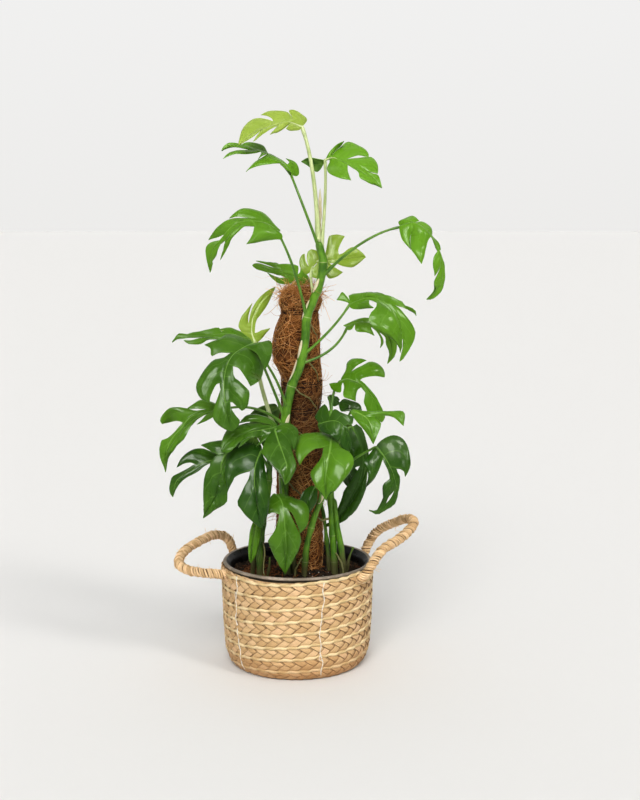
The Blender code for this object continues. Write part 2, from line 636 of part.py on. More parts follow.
leaf("leaf_middle", "vine", 284,
     bow=(-9, -72, 288), base=(-13, -112, 307), middle=(-12, -130, 291), tip=(-11, -136, 266),
     up_at_base=(0, -0.6, 0.8), up_at_tip=(0, -1, 0.2),
     width_left=0.95, width_right=0.75, left=(5, 30), right=(5, 25), cuts=ONE_CUT)
leaf("leaf_front_right", "centre", 270,
     bow=(52, -56, 300), base=(49, -70, 318), middle=(49, -105, 296), tip=(39, -118, 249),
     up_at_base=(0, -0.6, 0.8), up_at_tip=(0, -1, 0.1),
     width_left=0.75, width_right=1.05, left=(5, 25), right=(5, 25), cuts=ONE_CUT, whole="lr")
leaf("leaf_right_dark_back", "right", 330,
     bow=(50, 2, 341), base=(65, 18, 350), middle=(56, 26, 354), tip=(42, 32, 359),
     up_at_base=(0, 0.5, 0.8), up_at_tip=(0, 0.5, 0.8),
     width_left=0.9, width_right=0.9, left=(5, 10), right=(5, 10), cuts=ONE_CUT,
     fine=False, colour=DEEP_GREEN)
leaf("leaf_right_bright", "right", 300,
     bow=(31, -54, 323), base=(28, -66, 338), middle=(50, -80, 347), tip=(72, -88, 336),
     up_at_base=(0, -0.75, 0.65), up_at_tip=(0.2, -0.8, 0.5),
     width_left=1.1, width_right=1.1, left=(8, 5), right=(5, 15), cuts=ONE_CUT,
     fine=False)
leaf("leaf_right_folded", "right", 318,
     bow=(59, -44, 340), base=(73, -58, 355), middle=(98, -76, 350), tip=(100, -86, 315),
     up_at_base=(0, -0.5, 0.85), up_at_tip=(0.1, -0.9, 0.3),
     width_left=1, width_right=1, left=(5, 20), right=(5, 30), cuts=ONE_CUT,
     fine=False)
leaf("leaf_right_outer", "right", 262,
     bow=(70, -46, 290), base=(101, -60, 308), middle=(131, -70, 276), tip=(98, -66, 222),
     up_at_base=(0.2, -0.7, 0.6), up_at_tip=(0.5, -0.8, -0.1),
     width_left=0.7, width_right=0.7, left=(5, 20), right=(5, 30), cuts=TWO_CUTS)
leaf("leaf_right_dark", "right", 278,
     bow=(55, -14, 316), base=(71, -8, 325), middle=(82, -18, 279), tip=(65, -16, 200),
     up_at_base=(0.1, -0.6, 0.7), up_at_tip=(-0.1, -1, 0),
     width_left=0.6, width_right=0.6, left=(5, 25), right=(5, 30), cuts=TWO_CUTS,
     fine=False, colour=DEEP_GREEN)
leaf("leaf_low_front", "left", 196,
     bow=(-37, -58, 225), base=(-25, -72, 243), middle=(-17, -98, 212), tip=(-14, -84, 143),
     up_at_base=(0, -0.7, 0.7), up_at_tip=(0, -1, 0),
     width_left=0.75, width_right=0.6, left=(5, 15), right=(5, 20), cuts=ONE_CUT, whole="r")
leaf("leaf_low_narrow", "left", 176,
     bow=(-53, -54, 209), base=(-50, -60, 215), middle=(-53, -68, 195), tip=(-60, -66, 167),
     up_at_base=(0.5, -0.7, 0.6), up_at_tip=(0.6, -0.8, 0.1),
     width_left=0.5, width_right=0.5, left=(15, 10), right=(15, 10), cuts=ONE_CUT,
     fine=False)
leaf("leaf_low_middle", "centre", 226,
     bow=(31, -58, 251), base=(24, -64, 255), middle=(19, -70, 244), tip=(14, -72, 227),
     up_at_base=(0.3, -0.7, 0.6), up_at_tip=(0.4, -0.8, 0.1),
     width_left=0.7, width_right=0.7, left=(10, 10), right=(10, 10), cuts=ONE_CUT,
     fine=False, colour=DEEP_GREEN)
leaf("leaf_low_right", "right", 232,
     bow=(55, -12, 256), base=(58, -8, 269), middle=(72, 2, 259), tip=(83, 4, 233),
     up_at_base=(0, -0.6, 0.7), up_at_tip=(0.3, -0.8, 0.3),
     width_left=0.9, width_right=0.9, left=(10, 10), right=(10, 10), cuts=ONE_CUT,
     fine=False, colour=DEEP_GREEN)
leaf("leaf_back_right", "back", 300,
     bow=(20, 58, 317), base=(31, 66, 323), middle=(51, 92, 293), tip=(57, 108, 229),
     up_at_base=(0.1, 0.7, 0.7), up_at_tip=(0.2, 1, 0.1),
     width_left=0.85, width_right=0.85, left=(5, 25), right=(5, 25), cuts=TWO_CUTS,
     fine=False)
leaf("leaf_back_left", "back", 320,
     bow=(-18, 56, 341), base=(-30, 60, 349), middle=(-68, 82, 332), tip=(-79, 96, 263),
     up_at_base=(-0.1, 0.6, 0.8), up_at_tip=(-0.4, 0.9, 0.2),
     width_left=0.85, width_right=0.85, left=(5, 25), right=(5, 25), cuts=TWO_CUTS,
     fine=False)
leaf("leaf_back_low", "back", 240,
     bow=(6, 64, 252), base=(8, 72, 258), middle=(-3, 98, 231), tip=(-12, 110, 169),
     up_at_base=(0, 0.7, 0.7), up_at_tip=(0, 1, 0.1),
     width_left=0.85, width_right=0.85, left=(5, 25), right=(5, 25), cuts=TWO_CUTS,
     fine=False)

for cutter in list(cutters.objects):
    cutter.hide_render = True
    cutter.display_type = "WIRE"
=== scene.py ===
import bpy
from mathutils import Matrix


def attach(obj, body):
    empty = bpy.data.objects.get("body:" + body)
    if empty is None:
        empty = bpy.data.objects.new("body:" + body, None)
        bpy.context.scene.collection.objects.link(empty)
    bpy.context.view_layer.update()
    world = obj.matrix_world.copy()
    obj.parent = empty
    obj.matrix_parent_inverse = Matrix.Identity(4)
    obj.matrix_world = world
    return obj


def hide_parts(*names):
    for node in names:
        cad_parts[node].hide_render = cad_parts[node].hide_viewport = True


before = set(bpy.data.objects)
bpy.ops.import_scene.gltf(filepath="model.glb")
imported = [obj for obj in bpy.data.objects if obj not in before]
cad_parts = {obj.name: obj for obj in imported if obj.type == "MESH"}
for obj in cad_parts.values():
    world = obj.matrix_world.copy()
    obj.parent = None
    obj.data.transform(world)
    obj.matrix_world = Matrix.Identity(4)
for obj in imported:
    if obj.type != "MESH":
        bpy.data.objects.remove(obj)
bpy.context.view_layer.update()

import math

import bmesh
import bpy
import numpy as np
from mathutils import Vector

mm = 0.001   # sizes below are in millimetres, unless a note says otherwise
fullTurn = 2 * math.pi
print("frame loaded:", len(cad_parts), "nodes")


# curves, bars and lumps

def smoothPath(points, perSpan):
    # a smooth curve through the points
    p = np.array(points, float)
    ends = np.vstack([2 * p[0] - p[1], p, 2 * p[-1] - p[-2]])
    path = []
    for i in range(len(p) - 1):
        a, b, c, d = ends[i:i + 4]
        for k in range(perSpan):
            t = k / perSpan
            path.append(0.5 * (2 * b + (c - a) * t + (2 * a - 5 * b + 4 * c - d) * t**2
                               + (3 * b - a - 3 * c + d) * t**3))
    path.append(p[-1])
    return np.array(path)


def distances(path):
    # how far along the path each of its points lies
    return np.concatenate([[0.0], np.cumsum(np.linalg.norm(np.diff(path, axis=0), axis=1))])


def readLine(wanted, stations, line):
    # places on a line at the wanted values between its points' stations
    return np.stack([np.interp(wanted, stations, line[:, k]) for k in range(3)], -1)


def evenPath(path, count):
    # the path with evenly spaced points, and its length
    distance = distances(path)
    return readLine(np.linspace(0, distance[-1], count), distance, path), distance[-1]


def unit(vectors):
    return vectors / np.maximum(np.linalg.norm(vectors, axis=-1, keepdims=True), 1e-9)


def around(angle, radius, height):
    # places at a bearing and a distance from the upright axis
    return np.stack(np.broadcast_arrays(radius * np.cos(angle), radius * np.sin(angle), height), -1)


def outwards(angle):
    # straight away from the upright axis at each bearing
    return np.stack([np.cos(angle), np.sin(angle), 0 * angle], -1)


def ringTurns(sides):
    # bearings of the corners of a ring, once round
    return np.linspace(0, fullTurn, sides, endpoint=False)


def ripple(points, size, seed, layers=6):
    # a smooth uneven field from about -1 to 1, with bumps about size across
    pick = np.random.default_rng(seed)
    total = np.zeros(points.shape[:-1])
    for k in range(layers):
        direction = pick.normal(size=points.shape[-1])
        direction *= 2 * math.pi / size * pick.uniform(0.6, 1.6) / np.linalg.norm(direction)
        total += np.sin(points @ direction + pick.uniform(0, 6.28))
    return total / layers ** 0.5


def carryFrames(paths):
    # ahead, sideways and upwards along each path, turning as little as possible
    ahead = unit(np.gradient(paths, axis=1))
    side = np.zeros_like(ahead)
    side[np.arange(len(paths)), 0, np.argmin(np.abs(ahead[:, 0]), axis=-1)] = 1.0
    for i in range(paths.shape[1]):
        if i:
            side[:, i] = side[:, i - 1]
        side[:, i] = unit(side[:, i] - ahead[:, i] * (side[:, i] * ahead[:, i]).sum(-1, keepdims=True))
    return ahead, side, np.cross(ahead, side)


def rods(paths, radii, sides, flat=1.0, sideways=None, upwards=None):
    # closed bars of oval section along one path or many; radii per path point
    paths = np.asarray(paths, float)
    paths = paths[None] if paths.ndim == 2 else paths
    radii = np.broadcast_to(np.asarray(radii, float), paths.shape[:2])
    if sideways is None:
        sideways, upwards = carryFrames(paths)[1:]
    turn = ringTurns(sides)
    ring = sideways[:, :, None] * np.cos(turn)[:, None] + upwards[:, :, None] * np.sin(turn)[:, None] * flat
    points = paths[:, :, None] + ring * radii[:, :, None, None]
    grid = np.arange(points[..., 0].size).reshape(points.shape[:3])
    onward = np.roll(grid, -1, axis=2)
    walls = np.stack([grid[:, :-1], onward[:, :-1], onward[:, 1:], grid[:, 1:]], -1).reshape(-1, 4)
    caps = [list(g[::-1]) for g in grid[:, 0]] + [list(g) for g in grid[:, -1]]
    return points.reshape(-1, 3), walls.tolist() + caps


def turned(outline, columns, wobble=None):
    # turned shell from an outline of (radius, height) that starts and ends on the axis
    radii, heights = (np.array(c, float) for c in zip(*outline[1:-1]))
    points = around(ringTurns(columns), radii[:, None], heights[:, None])
    if wobble is not None:
        points = wobble(points)
    grid = np.arange(len(radii) * columns).reshape(len(radii), columns)
    onward = np.roll(grid, -1, axis=1)
    walls = np.stack([grid[:-1], onward[:-1], onward[1:], grid[1:]], -1).reshape(-1, 4)
    first = len(radii) * columns
    ends = [[first, int(onward[0, k]), int(grid[0, k])] for k in range(columns)]
    ends += [[first + 1, int(grid[-1, k]), int(onward[-1, k])] for k in range(columns)]
    low = (*points[0, :, :2].mean(0), outline[0][1])
    high = (*points[-1, :, :2].mean(0), outline[-1][1])
    return np.vstack([points.reshape(-1, 3), low, high]), walls.tolist() + ends


def lumps(places, sizes, seed):
    # small uneven stones, one at each place
    pick = np.random.default_rng(seed)
    seedBall = bmesh.new()
    bmesh.ops.create_icosphere(seedBall, subdivisions=1, radius=1.0)
    ball = np.array([v.co for v in seedBall.verts])
    shape = np.array([[v.index for v in f.verts] for f in seedBall.faces])
    seedBall.free()
    places = np.asarray(places, float)
    stretch = pick.uniform(0.55, 1.3, (len(places), 1, 3)) * np.reshape(sizes, (-1, 1, 1))
    turns = np.linalg.qr(pick.normal(size=(len(places), 3, 3)))[0]
    rough = pick.uniform(0.75, 1.2, (len(places), len(ball), 1))
    points = (ball * rough * stretch) @ turns + places[:, None]
    faces = (shape[None] + (np.arange(len(places)) * len(ball))[:, None, None]).reshape(-1, 3)
    return points.reshape(-1, 3), faces.tolist()


def gather(shapes):
    # several (points, faces) as one
    points = []
    faces = []
    start = 0
    for some, joined in shapes:
        points.append(some)
        faces += [[start + i for i in face] for face in joined]
        start += len(some)
    return np.vstack(points), faces


def joinMarks(rows):
    # the marks (along, across, tone) of several shapes as one
    return {label: np.concatenate(values) for label, values in zip(("along", "across", "tone"), zip(*rows))}


def addObject(name, data):
    added = bpy.data.objects.new(name, data)
    bpy.context.scene.collection.objects.link(added)
    return added


def makePiece(name, shape, finishes, marks=None, faceFinish=None, sharp=None, faceOut=False):
    # a piece of the plant from points in mm; the marks are what its finishes read at each point
    points, faces = shape
    mesh = bpy.data.meshes.new(name)
    mesh.from_pydata((np.asarray(points) * mm).tolist(), [], faces)
    for label, values in (marks or {}).items():
        data = mesh.attributes.new(label, "FLOAT", "POINT").data
        data.foreach_set("value", np.asarray(values, np.float32))
    for finish in finishes:
        mesh.materials.append(finish)
    if faceFinish is not None:
        mesh.polygons.foreach_set("material_index", np.asarray(faceFinish, np.int32))
    if faceOut:
        shell = bmesh.new()
        shell.from_mesh(mesh)
        bmesh.ops.recalc_face_normals(shell, faces=shell.faces)
        shell.to_mesh(mesh)
        shell.free()
    mesh.shade_smooth()
    if sharp:
        mesh.set_sharp_from_angle(angle=math.radians(sharp))
    piece = addObject(name, mesh)
    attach(piece, "root")
    return piece


# finishes, with lengths in metres

class Wire:
    # the output of a node, for sums in plain Python
    def __init__(self, board, socket):
        self.board = board
        self.socket = socket

    def reckon(self, operation, first, second):
        return self.board.node("ShaderNodeMath", {"operation": operation}, {0: first, 1: second})

    def __add__(self, other):
        return self.reckon("ADD", self, other)

    def __radd__(self, other):
        return self.reckon("ADD", other, self)

    def __sub__(self, other):
        return self.reckon("SUBTRACT", self, other)

    def __rsub__(self, other):
        return self.reckon("SUBTRACT", other, self)

    def __mul__(self, other):
        return self.reckon("MULTIPLY", self, other)

    def __rmul__(self, other):
        return self.reckon("MULTIPLY", other, self)


class Board:
    # the nodes of one material or of the sky
    def __init__(self, tree):
        self.tree = tree

    def put(self, socket, value):
        if isinstance(value, Wire):
            self.tree.links.new(value.socket, socket)
        elif isinstance(value, tuple) and len(value) == 3 and socket.type == "RGBA":
            socket.default_value = (*value, 1.0)
        else:
            socket.default_value = value

    def node(self, kind, settings, values, output=0):
        made = self.tree.nodes.new(kind)
        for label, value in settings.items():
            setattr(made, label, value)
        for label, value in values.items():
            self.put(made.inputs[label], value)
        return Wire(self, made.outputs[output]) if made.outputs else None

    def between(self, value, low, high, start=0.0, end=1.0, way="SMOOTHSTEP"):
        # value taken from low..high to start..end, rounded off at both ends unless way is LINEAR
        return self.node("ShaderNodeMapRange", {"interpolation_type": way},
                         {"Value": value, "From Min": low, "From Max": high, "To Min": start, "To Max": end})

    def blend(self, share, first, second):
        return self.node("ShaderNodeMix", {"data_type": "RGBA"}, {0: share, 6: first, 7: second}, 2)


class Finish(Board):
    # a material on one Principled shader
    def __init__(self, name, fixed):
        self.material = bpy.data.materials.new(name)
        self.material.use_nodes = True
        super().__init__(self.material.node_tree)
        self.shader = self.tree.nodes["Principled BSDF"]
        self.give(fixed)

    def mark(self, label):
        return self.node("ShaderNodeAttribute", {"attribute_name": label}, {}, "Fac")

    def place(self):
        return self.node("ShaderNodeTexCoord", {}, {}, "Object")

    def height(self):
        return self.node("ShaderNodeSeparateXYZ", {}, {0: self.place()}, "Z")

    def stretched(self, scale):
        return self.node("ShaderNodeVectorMath", {"operation": "MULTIPLY"}, {0: self.place(), 1: scale})

    def vector(self, x, y, z):
        return self.node("ShaderNodeCombineXYZ", {}, {0: x, 1: y, 2: z})

    def noise(self, scale, vector=None, detail=3.0, roughness=0.55):
        return self.node("ShaderNodeTexNoise", {}, {"Vector": vector or self.place(), "Scale": scale,
                                                    "Detail": detail, "Roughness": roughness})

    def veinLines(self, vein, reach):
        # distance to the nearest side vein; reach is half the space between two of them
        return self.node("ShaderNodeMath", {"operation": "PINGPONG"}, {0: vein, 1: reach})

    def bump(self, height, distance, strength=1.0):
        normal = self.node("ShaderNodeBump", {},
                           {"Height": height, "Distance": distance, "Strength": strength})
        self.put(self.shader.inputs["Normal"], normal)

    def give(self, values):
        for label, value in values.items():
            self.put(self.shader.inputs[label], value)
        return self.material


# edge is the colour of the painted shade in the grooves at the strands' edges
strawTones = dict(streak=(0.17, 0.085, 0.03), edge=(0.13, 0.060, 0.020), low=(0.42, 0.20, 0.07), lowTo=0.045)


def strawFinish(name, light, dark, warm, grooveShade=0.0):
    # dried leaf strands: long fibres, each strand with its own tone, warmer near the floor, and painted
    # shade at each strand's edges where it dips into the groove beside the next
    finish = Finish(name, {"Roughness": 0.62, "Specular IOR Level": 0.35})
    along = finish.mark("along")
    across = finish.mark("across")
    tone = finish.mark("tone")
    fibre = finish.noise(1.0, finish.vector(along * 0.05, across * 5.0, tone * 40), 4.0, 0.65)
    streak = finish.noise(1.0, finish.vector(along * 0.25, across * 16.0, tone * 17), 2.0)
    patch = finish.noise(45.0)
    colour = finish.blend(finish.between(fibre * 0.55 + tone * 0.45, 0.25, 0.75), dark, light)
    colour = finish.blend(finish.between(tone + patch * 0.5, 0.85, 1.35, 0.0, 0.6), colour, warm)
    colour = finish.blend(finish.between(streak, 0.56, 0.72, 0.0, 0.45), colour, strawTones["streak"])
    # painted shade: each strand darkens towards the edge tone near its edges, where the grooves lie
    colour = finish.blend(finish.between(across * across, 0.66, 1.0, 0.0, grooveShade), colour, strawTones["edge"])
    low = finish.between(finish.height(), strawTones["lowTo"], 0.0, 0.0, 0.5)
    colour = finish.blend(low, colour, strawTones["low"])
    finish.bump(fibre * 0.7 + streak * 0.3, 0.0007, 0.8)
    return finish.give({"Base Color": colour, "Roughness": finish.between(streak, 0.3, 0.7, 0.5, 0.75)})


def threadFinish(name, dark, light):
    finish = Finish(name, {"Roughness": 0.8, "Sheen Weight": 0.2})
    ply = finish.noise(900.0)
    finish.bump(ply, 0.0003)
    return finish.give({"Base Color": finish.blend(ply, dark, light)})


def potFinish(name, light, dark, rough, dust=(0.20, 0.15, 0.10)):
    # scuffed plastic with faint turned rings and specks of dust
    finish = Finish(name, {"Roughness": rough, "Specular IOR Level": 0.5})
    speck = finish.noise(70.0, None, 5.0)
    rings = finish.noise(260.0, finish.stretched((0.15, 0.15, 1.0)))
    scuff = finish.between(finish.noise(28.0, None, 6.0, 0.7), 0.48, 0.66)
    finish.bump(rings, 0.0002, 0.5)
    colour = finish.blend(finish.between(speck, 0.6, 0.75, 0.0, 0.3), finish.blend(scuff, dark, light), dust)
    uneven = finish.between(speck, 0.3, 0.7, rough - 0.1, rough + 0.15)
    return finish.give({"Base Color": colour, "Roughness": uneven})


def soilFinish(name, dark, light):
    finish = Finish(name, {"Roughness": 0.95, "Specular IOR Level": 0.2})
    grain = finish.noise(420.0, None, 6.0, 0.7)
    clod = finish.noise(90.0, None, 4.0)
    finish.bump(grain * 0.6 + clod * 0.8, 0.0022)
    share = finish.between(grain * 0.5 + clod * 0.5, 0.42, 0.66)
    return finish.give({"Base Color": finish.blend(share, dark, light)})


# painted shade: the pole is painted darker round this height, where the leaves shade its waist
coirShadedWaist = 0.338   # height in metres of the dark waist of the pole


def coirFinish(name, dark, middle, light):
    finish = Finish(name, {"Roughness": 0.75, "Specular IOR Level": 0.3})
    tone = finish.mark("tone")
    fine = finish.noise(340.0, finish.stretched((1.0, 1.0, 0.35)), 5.0, 0.7)
    cloud = finish.noise(26.0, None, 3.0)
    mixed = tone * 0.5 + fine * 0.35 + cloud * 0.3
    colour = finish.blend(finish.between(mixed, 0.28, 0.56), dark, middle)
    colour = finish.blend(finish.between(mixed, 0.56, 0.86), colour, light)
    waist = finish.height() - coirShadedWaist
    # painted shade: darker round the waist of the pole, under the leaves
    colour = finish.blend(finish.between(waist * waist, 0.0036, 0.0004, 0.0, 0.6), colour, dark)
    finish.bump(fine, 0.0012)
    return finish.give({"Base Color": colour})


def stemFinish(name, deep, bright, scar, barkTone=(0.075, 0.05, 0.025)):
    # smooth green skin with faint length lines, a cream band at each joint and bark near the soil
    finish = Finish(name, {"Roughness": 0.38, "Specular IOR Level": 0.45, "Coat Weight": 0.15,
                           "Coat Roughness": 0.3})
    node = finish.mark("node")
    bark = finish.mark("bark")
    lines = finish.noise(1.0, finish.stretched((900.0, 900.0, 70.0)), 3.0)
    patch = finish.noise(60.0, None, 4.0)
    colour = finish.blend(finish.between(patch * 0.7 + lines * 0.4, 0.35, 0.75), deep, bright)
    colour = finish.blend(finish.between(node + patch * 0.6, 0.95, 1.35, 0.0, 0.6), colour, scar)
    colour = finish.blend(finish.between(bark + patch * 0.7, 0.65, 1.15, 0.0, 0.85), colour, barkTone)
    finish.bump(lines * 0.5 + patch * (bark + 0.15), 0.0008, 0.7)
    return finish.give({"Base Color": colour, "Roughness": finish.between(bark, 0.0, 1.0, 0.36, 0.8)})


def paperFinish(name, dark, light, brown):
    finish = Finish(name, {"Roughness": 0.7, "Subsurface Weight": 0.1})
    lines = finish.noise(1.0, finish.stretched((1200.0, 1200.0, 60.0)), 3.0)
    stain = finish.between(finish.noise(80.0), 0.5, 0.75, 0.0, 0.6)
    finish.bump(lines, 0.0005)
    return finish.give({"Base Color": finish.blend(stain, finish.blend(lines, dark, light), brown)})


leafTones = {   # deep colour, bright colour, colour along the veins
    "green": ((0.007, 0.045, 0.0005), (0.135, 0.300, 0.012), (0.24, 0.42, 0.08)),
    "deep": ((0.008, 0.034, 0.001), (0.042, 0.125, 0.004), (0.08, 0.18, 0.03)),
    "pale": ((0.050, 0.155, 0.004), (0.140, 0.300, 0.012), (0.26, 0.44, 0.08)),
    "lime": ((0.190, 0.290, 0.022), (0.420, 0.520, 0.110), (0.42, 0.52, 0.16)),
}
veinReach = 0.045   # half the space between two side veins, in the mark "vein"


def bladeUpper(name, deep, bright, rib):
    # waxy upper side: pale midrib, fine side veins, ribs that catch the light
    finish = Finish(name, {"Roughness": 0.26, "Specular IOR Level": 0.22, "Coat Weight": 0.22,
                           "Coat Roughness": 0.10, "Sheen Weight": 0.10, "Sheen Roughness": 0.5})
    share = finish.mark("share")
    cloud = finish.noise(32.0, None, 3.0)
    sway = finish.noise(120.0, None, 1.0) * 0.012
    line = finish.veinLines(finish.mark("vein") + sway, veinReach)
    side = finish.between(line, 0.0055, 0.0)
    midrib = finish.between(share, 0.030, 0.012)
    # the mark tone is the leaf's painted light and shade: it moves the colour from deep to bright
    colour = finish.blend(finish.between(cloud * 0.5 + finish.mark("tone"), 0.12, 1.22), deep, bright)
    colour = finish.blend(side * 0.22 * finish.between(share, 1.0, 0.2, 0.2, 1.0), colour, rib)
    colour = finish.blend(finish.between(share, 0.965, 1.0, 0.0, 0.4), colour, rib)
    colour = finish.blend(midrib * 0.55, colour, rib)
    finish.bump(finish.between(line, 0.0, veinReach) * 0.4 + cloud * 1.1 - midrib * 0.5, 0.0014, 0.6)
    return finish.give({"Base Color": colour, "Roughness": finish.between(cloud, 0.3, 0.75, 0.22, 0.38)})


def bladeUnder(name, deep, bright, rib, dull=(0.20, 0.30, 0.10)):
    # matt, paler underside with raised veins
    finish = Finish(name, {"Roughness": 0.55, "Specular IOR Level": 0.2})
    cloud = finish.noise(40.0, None, 3.0)
    side = finish.between(finish.veinLines(finish.mark("vein"), veinReach), 0.007, 0.0)
    midrib = finish.between(finish.mark("share"), 0.04, 0.01)
    matt = tuple(0.55 * a + 0.45 * b for a, b in zip(bright, dull))
    colour = finish.blend(finish.between(cloud, 0.3, 0.7), tuple(1.5 * a for a in deep), matt)
    colour = finish.blend(side * 0.45, colour, rib)
    colour = finish.blend(midrib * 0.8, colour, rib)
    finish.bump(side * 0.6 + midrib, 0.0008, 0.4)
    return finish.give({"Base Color": colour})


finishes = {
    "straw": strawFinish("seagrassPlait", (0.69, 0.50, 0.285), (0.53, 0.35, 0.175), (0.65, 0.435, 0.265),
                         0.95),
    # paler straw for the seam cord: partly the fold's own colour, partly painted highlight where the fold
    # catches the light
    "edge": strawFinish("seagrassEdge", (0.78, 0.65, 0.41), (0.60, 0.45, 0.24), (0.74, 0.59, 0.36)),
    "rope": strawFinish("seagrassRope", (0.88, 0.67, 0.42), (0.56, 0.37, 0.19), (0.82, 0.57, 0.35), 0.9),
    "thread": threadFinish("cottonThread", (0.66, 0.60, 0.50), (0.86, 0.82, 0.74)),
    "rim": potFinish("potRim", (0.36, 0.30, 0.24), (0.20, 0.165, 0.125), 0.42),
    "inner": potFinish("potInner", (0.010, 0.009, 0.008), (0.004, 0.004, 0.004), 0.34),
    "soil": soilFinish("pottingSoil", (0.010, 0.007, 0.004), (0.050, 0.030, 0.016)),
    "crumb": soilFinish("soilCrumbs", (0.020, 0.013, 0.008), (0.085, 0.050, 0.026)),
    "perlite": soilFinish("perlite", (0.42, 0.40, 0.36), (0.72, 0.70, 0.66)),
    "coirCore": coirFinish("coirCore", (0.030, 0.010, 0.003), (0.13, 0.045, 0.010), (0.28, 0.11, 0.03)),
    "coir": coirFinish("coirFibre", (0.050, 0.018, 0.005), (0.47, 0.200, 0.054), (0.88, 0.53, 0.22)),
    "string": coirFinish("coirString", (0.012, 0.007, 0.004), (0.035, 0.018, 0.009), (0.08, 0.04, 0.02)),
    "stem": stemFinish("stemGreen", (0.040, 0.130, 0.004), (0.150, 0.320, 0.016), (0.62, 0.58, 0.36)),
    "stalk": stemFinish("stalkGreen", (0.050, 0.140, 0.010), (0.150, 0.300, 0.034), (0.42, 0.50, 0.20)),
    "limeStalk": stemFinish("stalkLime", (0.36, 0.45, 0.18), (0.60, 0.66, 0.36), (0.64, 0.66, 0.40)),
    "root": stemFinish("aerialRoot", (0.10, 0.11, 0.03), (0.22, 0.20, 0.07), (0.30, 0.20, 0.10)),
    "paper": paperFinish("paperySheath", (0.62, 0.52, 0.30), (0.86, 0.80, 0.62), (0.40, 0.24, 0.10)),
}
for label, tone in leafTones.items():
    finishes[label + "Upper"] = bladeUpper(label + "Upper", *tone)
    finishes[label + "Under"] = bladeUnder(label + "Under", *tone)
print("finishes made:", len(finishes))


# basket

basketPlan = dict(
    height=137.5, rows=8, outer=((0, 88), (10, 94.5), (24, 99), (60, 101.5), (137.5, 104)),
    coilRadius=98.0, start=150.0, tilt=7.0,   # bearing of the coil's start; the rows climb to the right
    dip=2.6, dipBearing=-1.85, dipWidth=0.35,   # the top sags a little in front, bearing in radians
    inset=3.4,   # crown's foot inside the outline
    pitch=15.2, strandWidth=15.2, thickness=0.70, layer=1.35, shingle=1.05, crown=1.9, steps=16, sides=10,
    edgeRadius=2.25, edgeBead=0.8, edgeSides=8, edgeStep=2.1, liningDepth=5.2, liningColumns=120,
    floorTurns=5.4, floorReach=84, floorStrand=6.8, floorHeight=2.4,
    threads=5, threadRadius=0.42,   # its loose loops by bearing in degrees and height
    threadLoops=((-73, 34), (-142, 110), (7, 70), (71, 48), (151, 90)))
coilStart = math.radians(basketPlan["start"])


def basketRadius(height):
    heights, radii = zip(*basketPlan["outer"])
    return np.interp(height, heights, radii)


def coilEdge(turns, angle):
    # height of the seam below a place in the coil, level at the floor and at the top
    plan = basketPlan
    share = np.clip((turns - 0.5) / plan["rows"], 0, 1)
    height = plan["height"] * share + plan["tilt"] * np.cos(angle) * np.sin(math.pi * share)
    away = np.mod(angle - plan["dipBearing"] + math.pi, fullTurn) - math.pi
    return height - plan["dip"] * share**6 * np.exp(-(away / plan["dipWidth"]) ** 2)


def coilPoints(angle, share, lift):
    # points on the wall: angle counts on through the turns, share runs up one row, lift stands off it
    turns = (angle - coilStart) / fullTurn
    low = coilEdge(turns, angle)
    high = coilEdge(turns + 1, angle)
    height = low + (high - low) * share
    crown = basketPlan["crown"] * (1 - (2 * share - 1) ** 2)
    radius = basketRadius(height) - basketPlan["inset"] + crown + lift
    return around(angle, radius, height), high - low


def plaitStrand(number):
    # one of three flat strands that fold over at the row's edges and pass over and under each other
    plan = basketPlan
    pick = np.random.default_rng(60 + number)
    length = fullTurn * plan["coilRadius"] * (plan["rows"] + 0.9)
    period = 3 * plan["pitch"]
    count = int(length / period * plan["steps"])
    travel = np.linspace(0, length, count)
    angle = coilStart + travel / plan["coilRadius"]
    phase = travel / period + number / 3 + 0.012 * np.sin(travel / 47.0 + number)
    fold = np.mod(phase, 1.0)
    swing = 4 * np.abs(fold - 0.5) - 1
    stretch = np.floor(phase * 2).astype(int)
    tones = pick.uniform(0, 1, stretch.max() + 2)
    widths = pick.normal(1.0, 0.045, stretch.max() + 2)
    share = 0.5 + 0.5 * swing * (1 + 0.02 * np.sin(travel / 31.0 + 2 * number))
    centre, rowHeight = coilPoints(angle, np.clip(share, 0.0, 1.0), 0 * angle)
    taper = np.clip(rowHeight / 9.0, 0.05, 1.0)
    outward = outwards(angle)
    onward = np.stack([-np.sin(angle), np.cos(angle), 0 * angle], -1)
    sides = plan["sides"]
    turn = ringTurns(sides)
    wide = plan["strandWidth"] / 2 * widths[stretch] * (0.35 + 0.65 * taper)
    thick = plan["thickness"] * (1 + 0.25 * ripple(centre, 9.0, 70 + number)) * taper
    curl = np.cos(turn)[None, :, None] * wide[:, None, None]
    over = plan["layer"] * np.sin(4 * math.pi * fold[:, None] + plan["shingle"] * np.cos(turn)[None])
    rise = (np.sin(turn)[None] * thick[:, None] + over * taper[:, None])[..., None]
    points = centre[:, None] + onward[:, None] * curl + outward[:, None] * rise
    grid = np.arange(count * sides).reshape(count, sides)
    after = np.roll(grid, -1, axis=1)
    walls = np.stack([grid[:-1], grid[1:], after[1:], after[:-1]], -1).reshape(-1, 4).tolist()
    walls += [list(grid[0]), list(grid[-1][::-1])]
    # across runs from edge to edge of each strand; near its ends the straw finish paints groove shade
    marks = (np.repeat(travel * 1.4, sides), np.tile(np.cos(turn), count), np.repeat(tones[stretch], sides))
    return (points.reshape(-1, 3), walls), marks


def buildPlait():
    shapes, marks = zip(*[plaitStrand(k) for k in range(3)])
    plait = makePiece("basketPlait", gather(shapes), [finishes["straw"]], joinMarks(marks),
                      faceOut=True)
    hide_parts("basket_body")


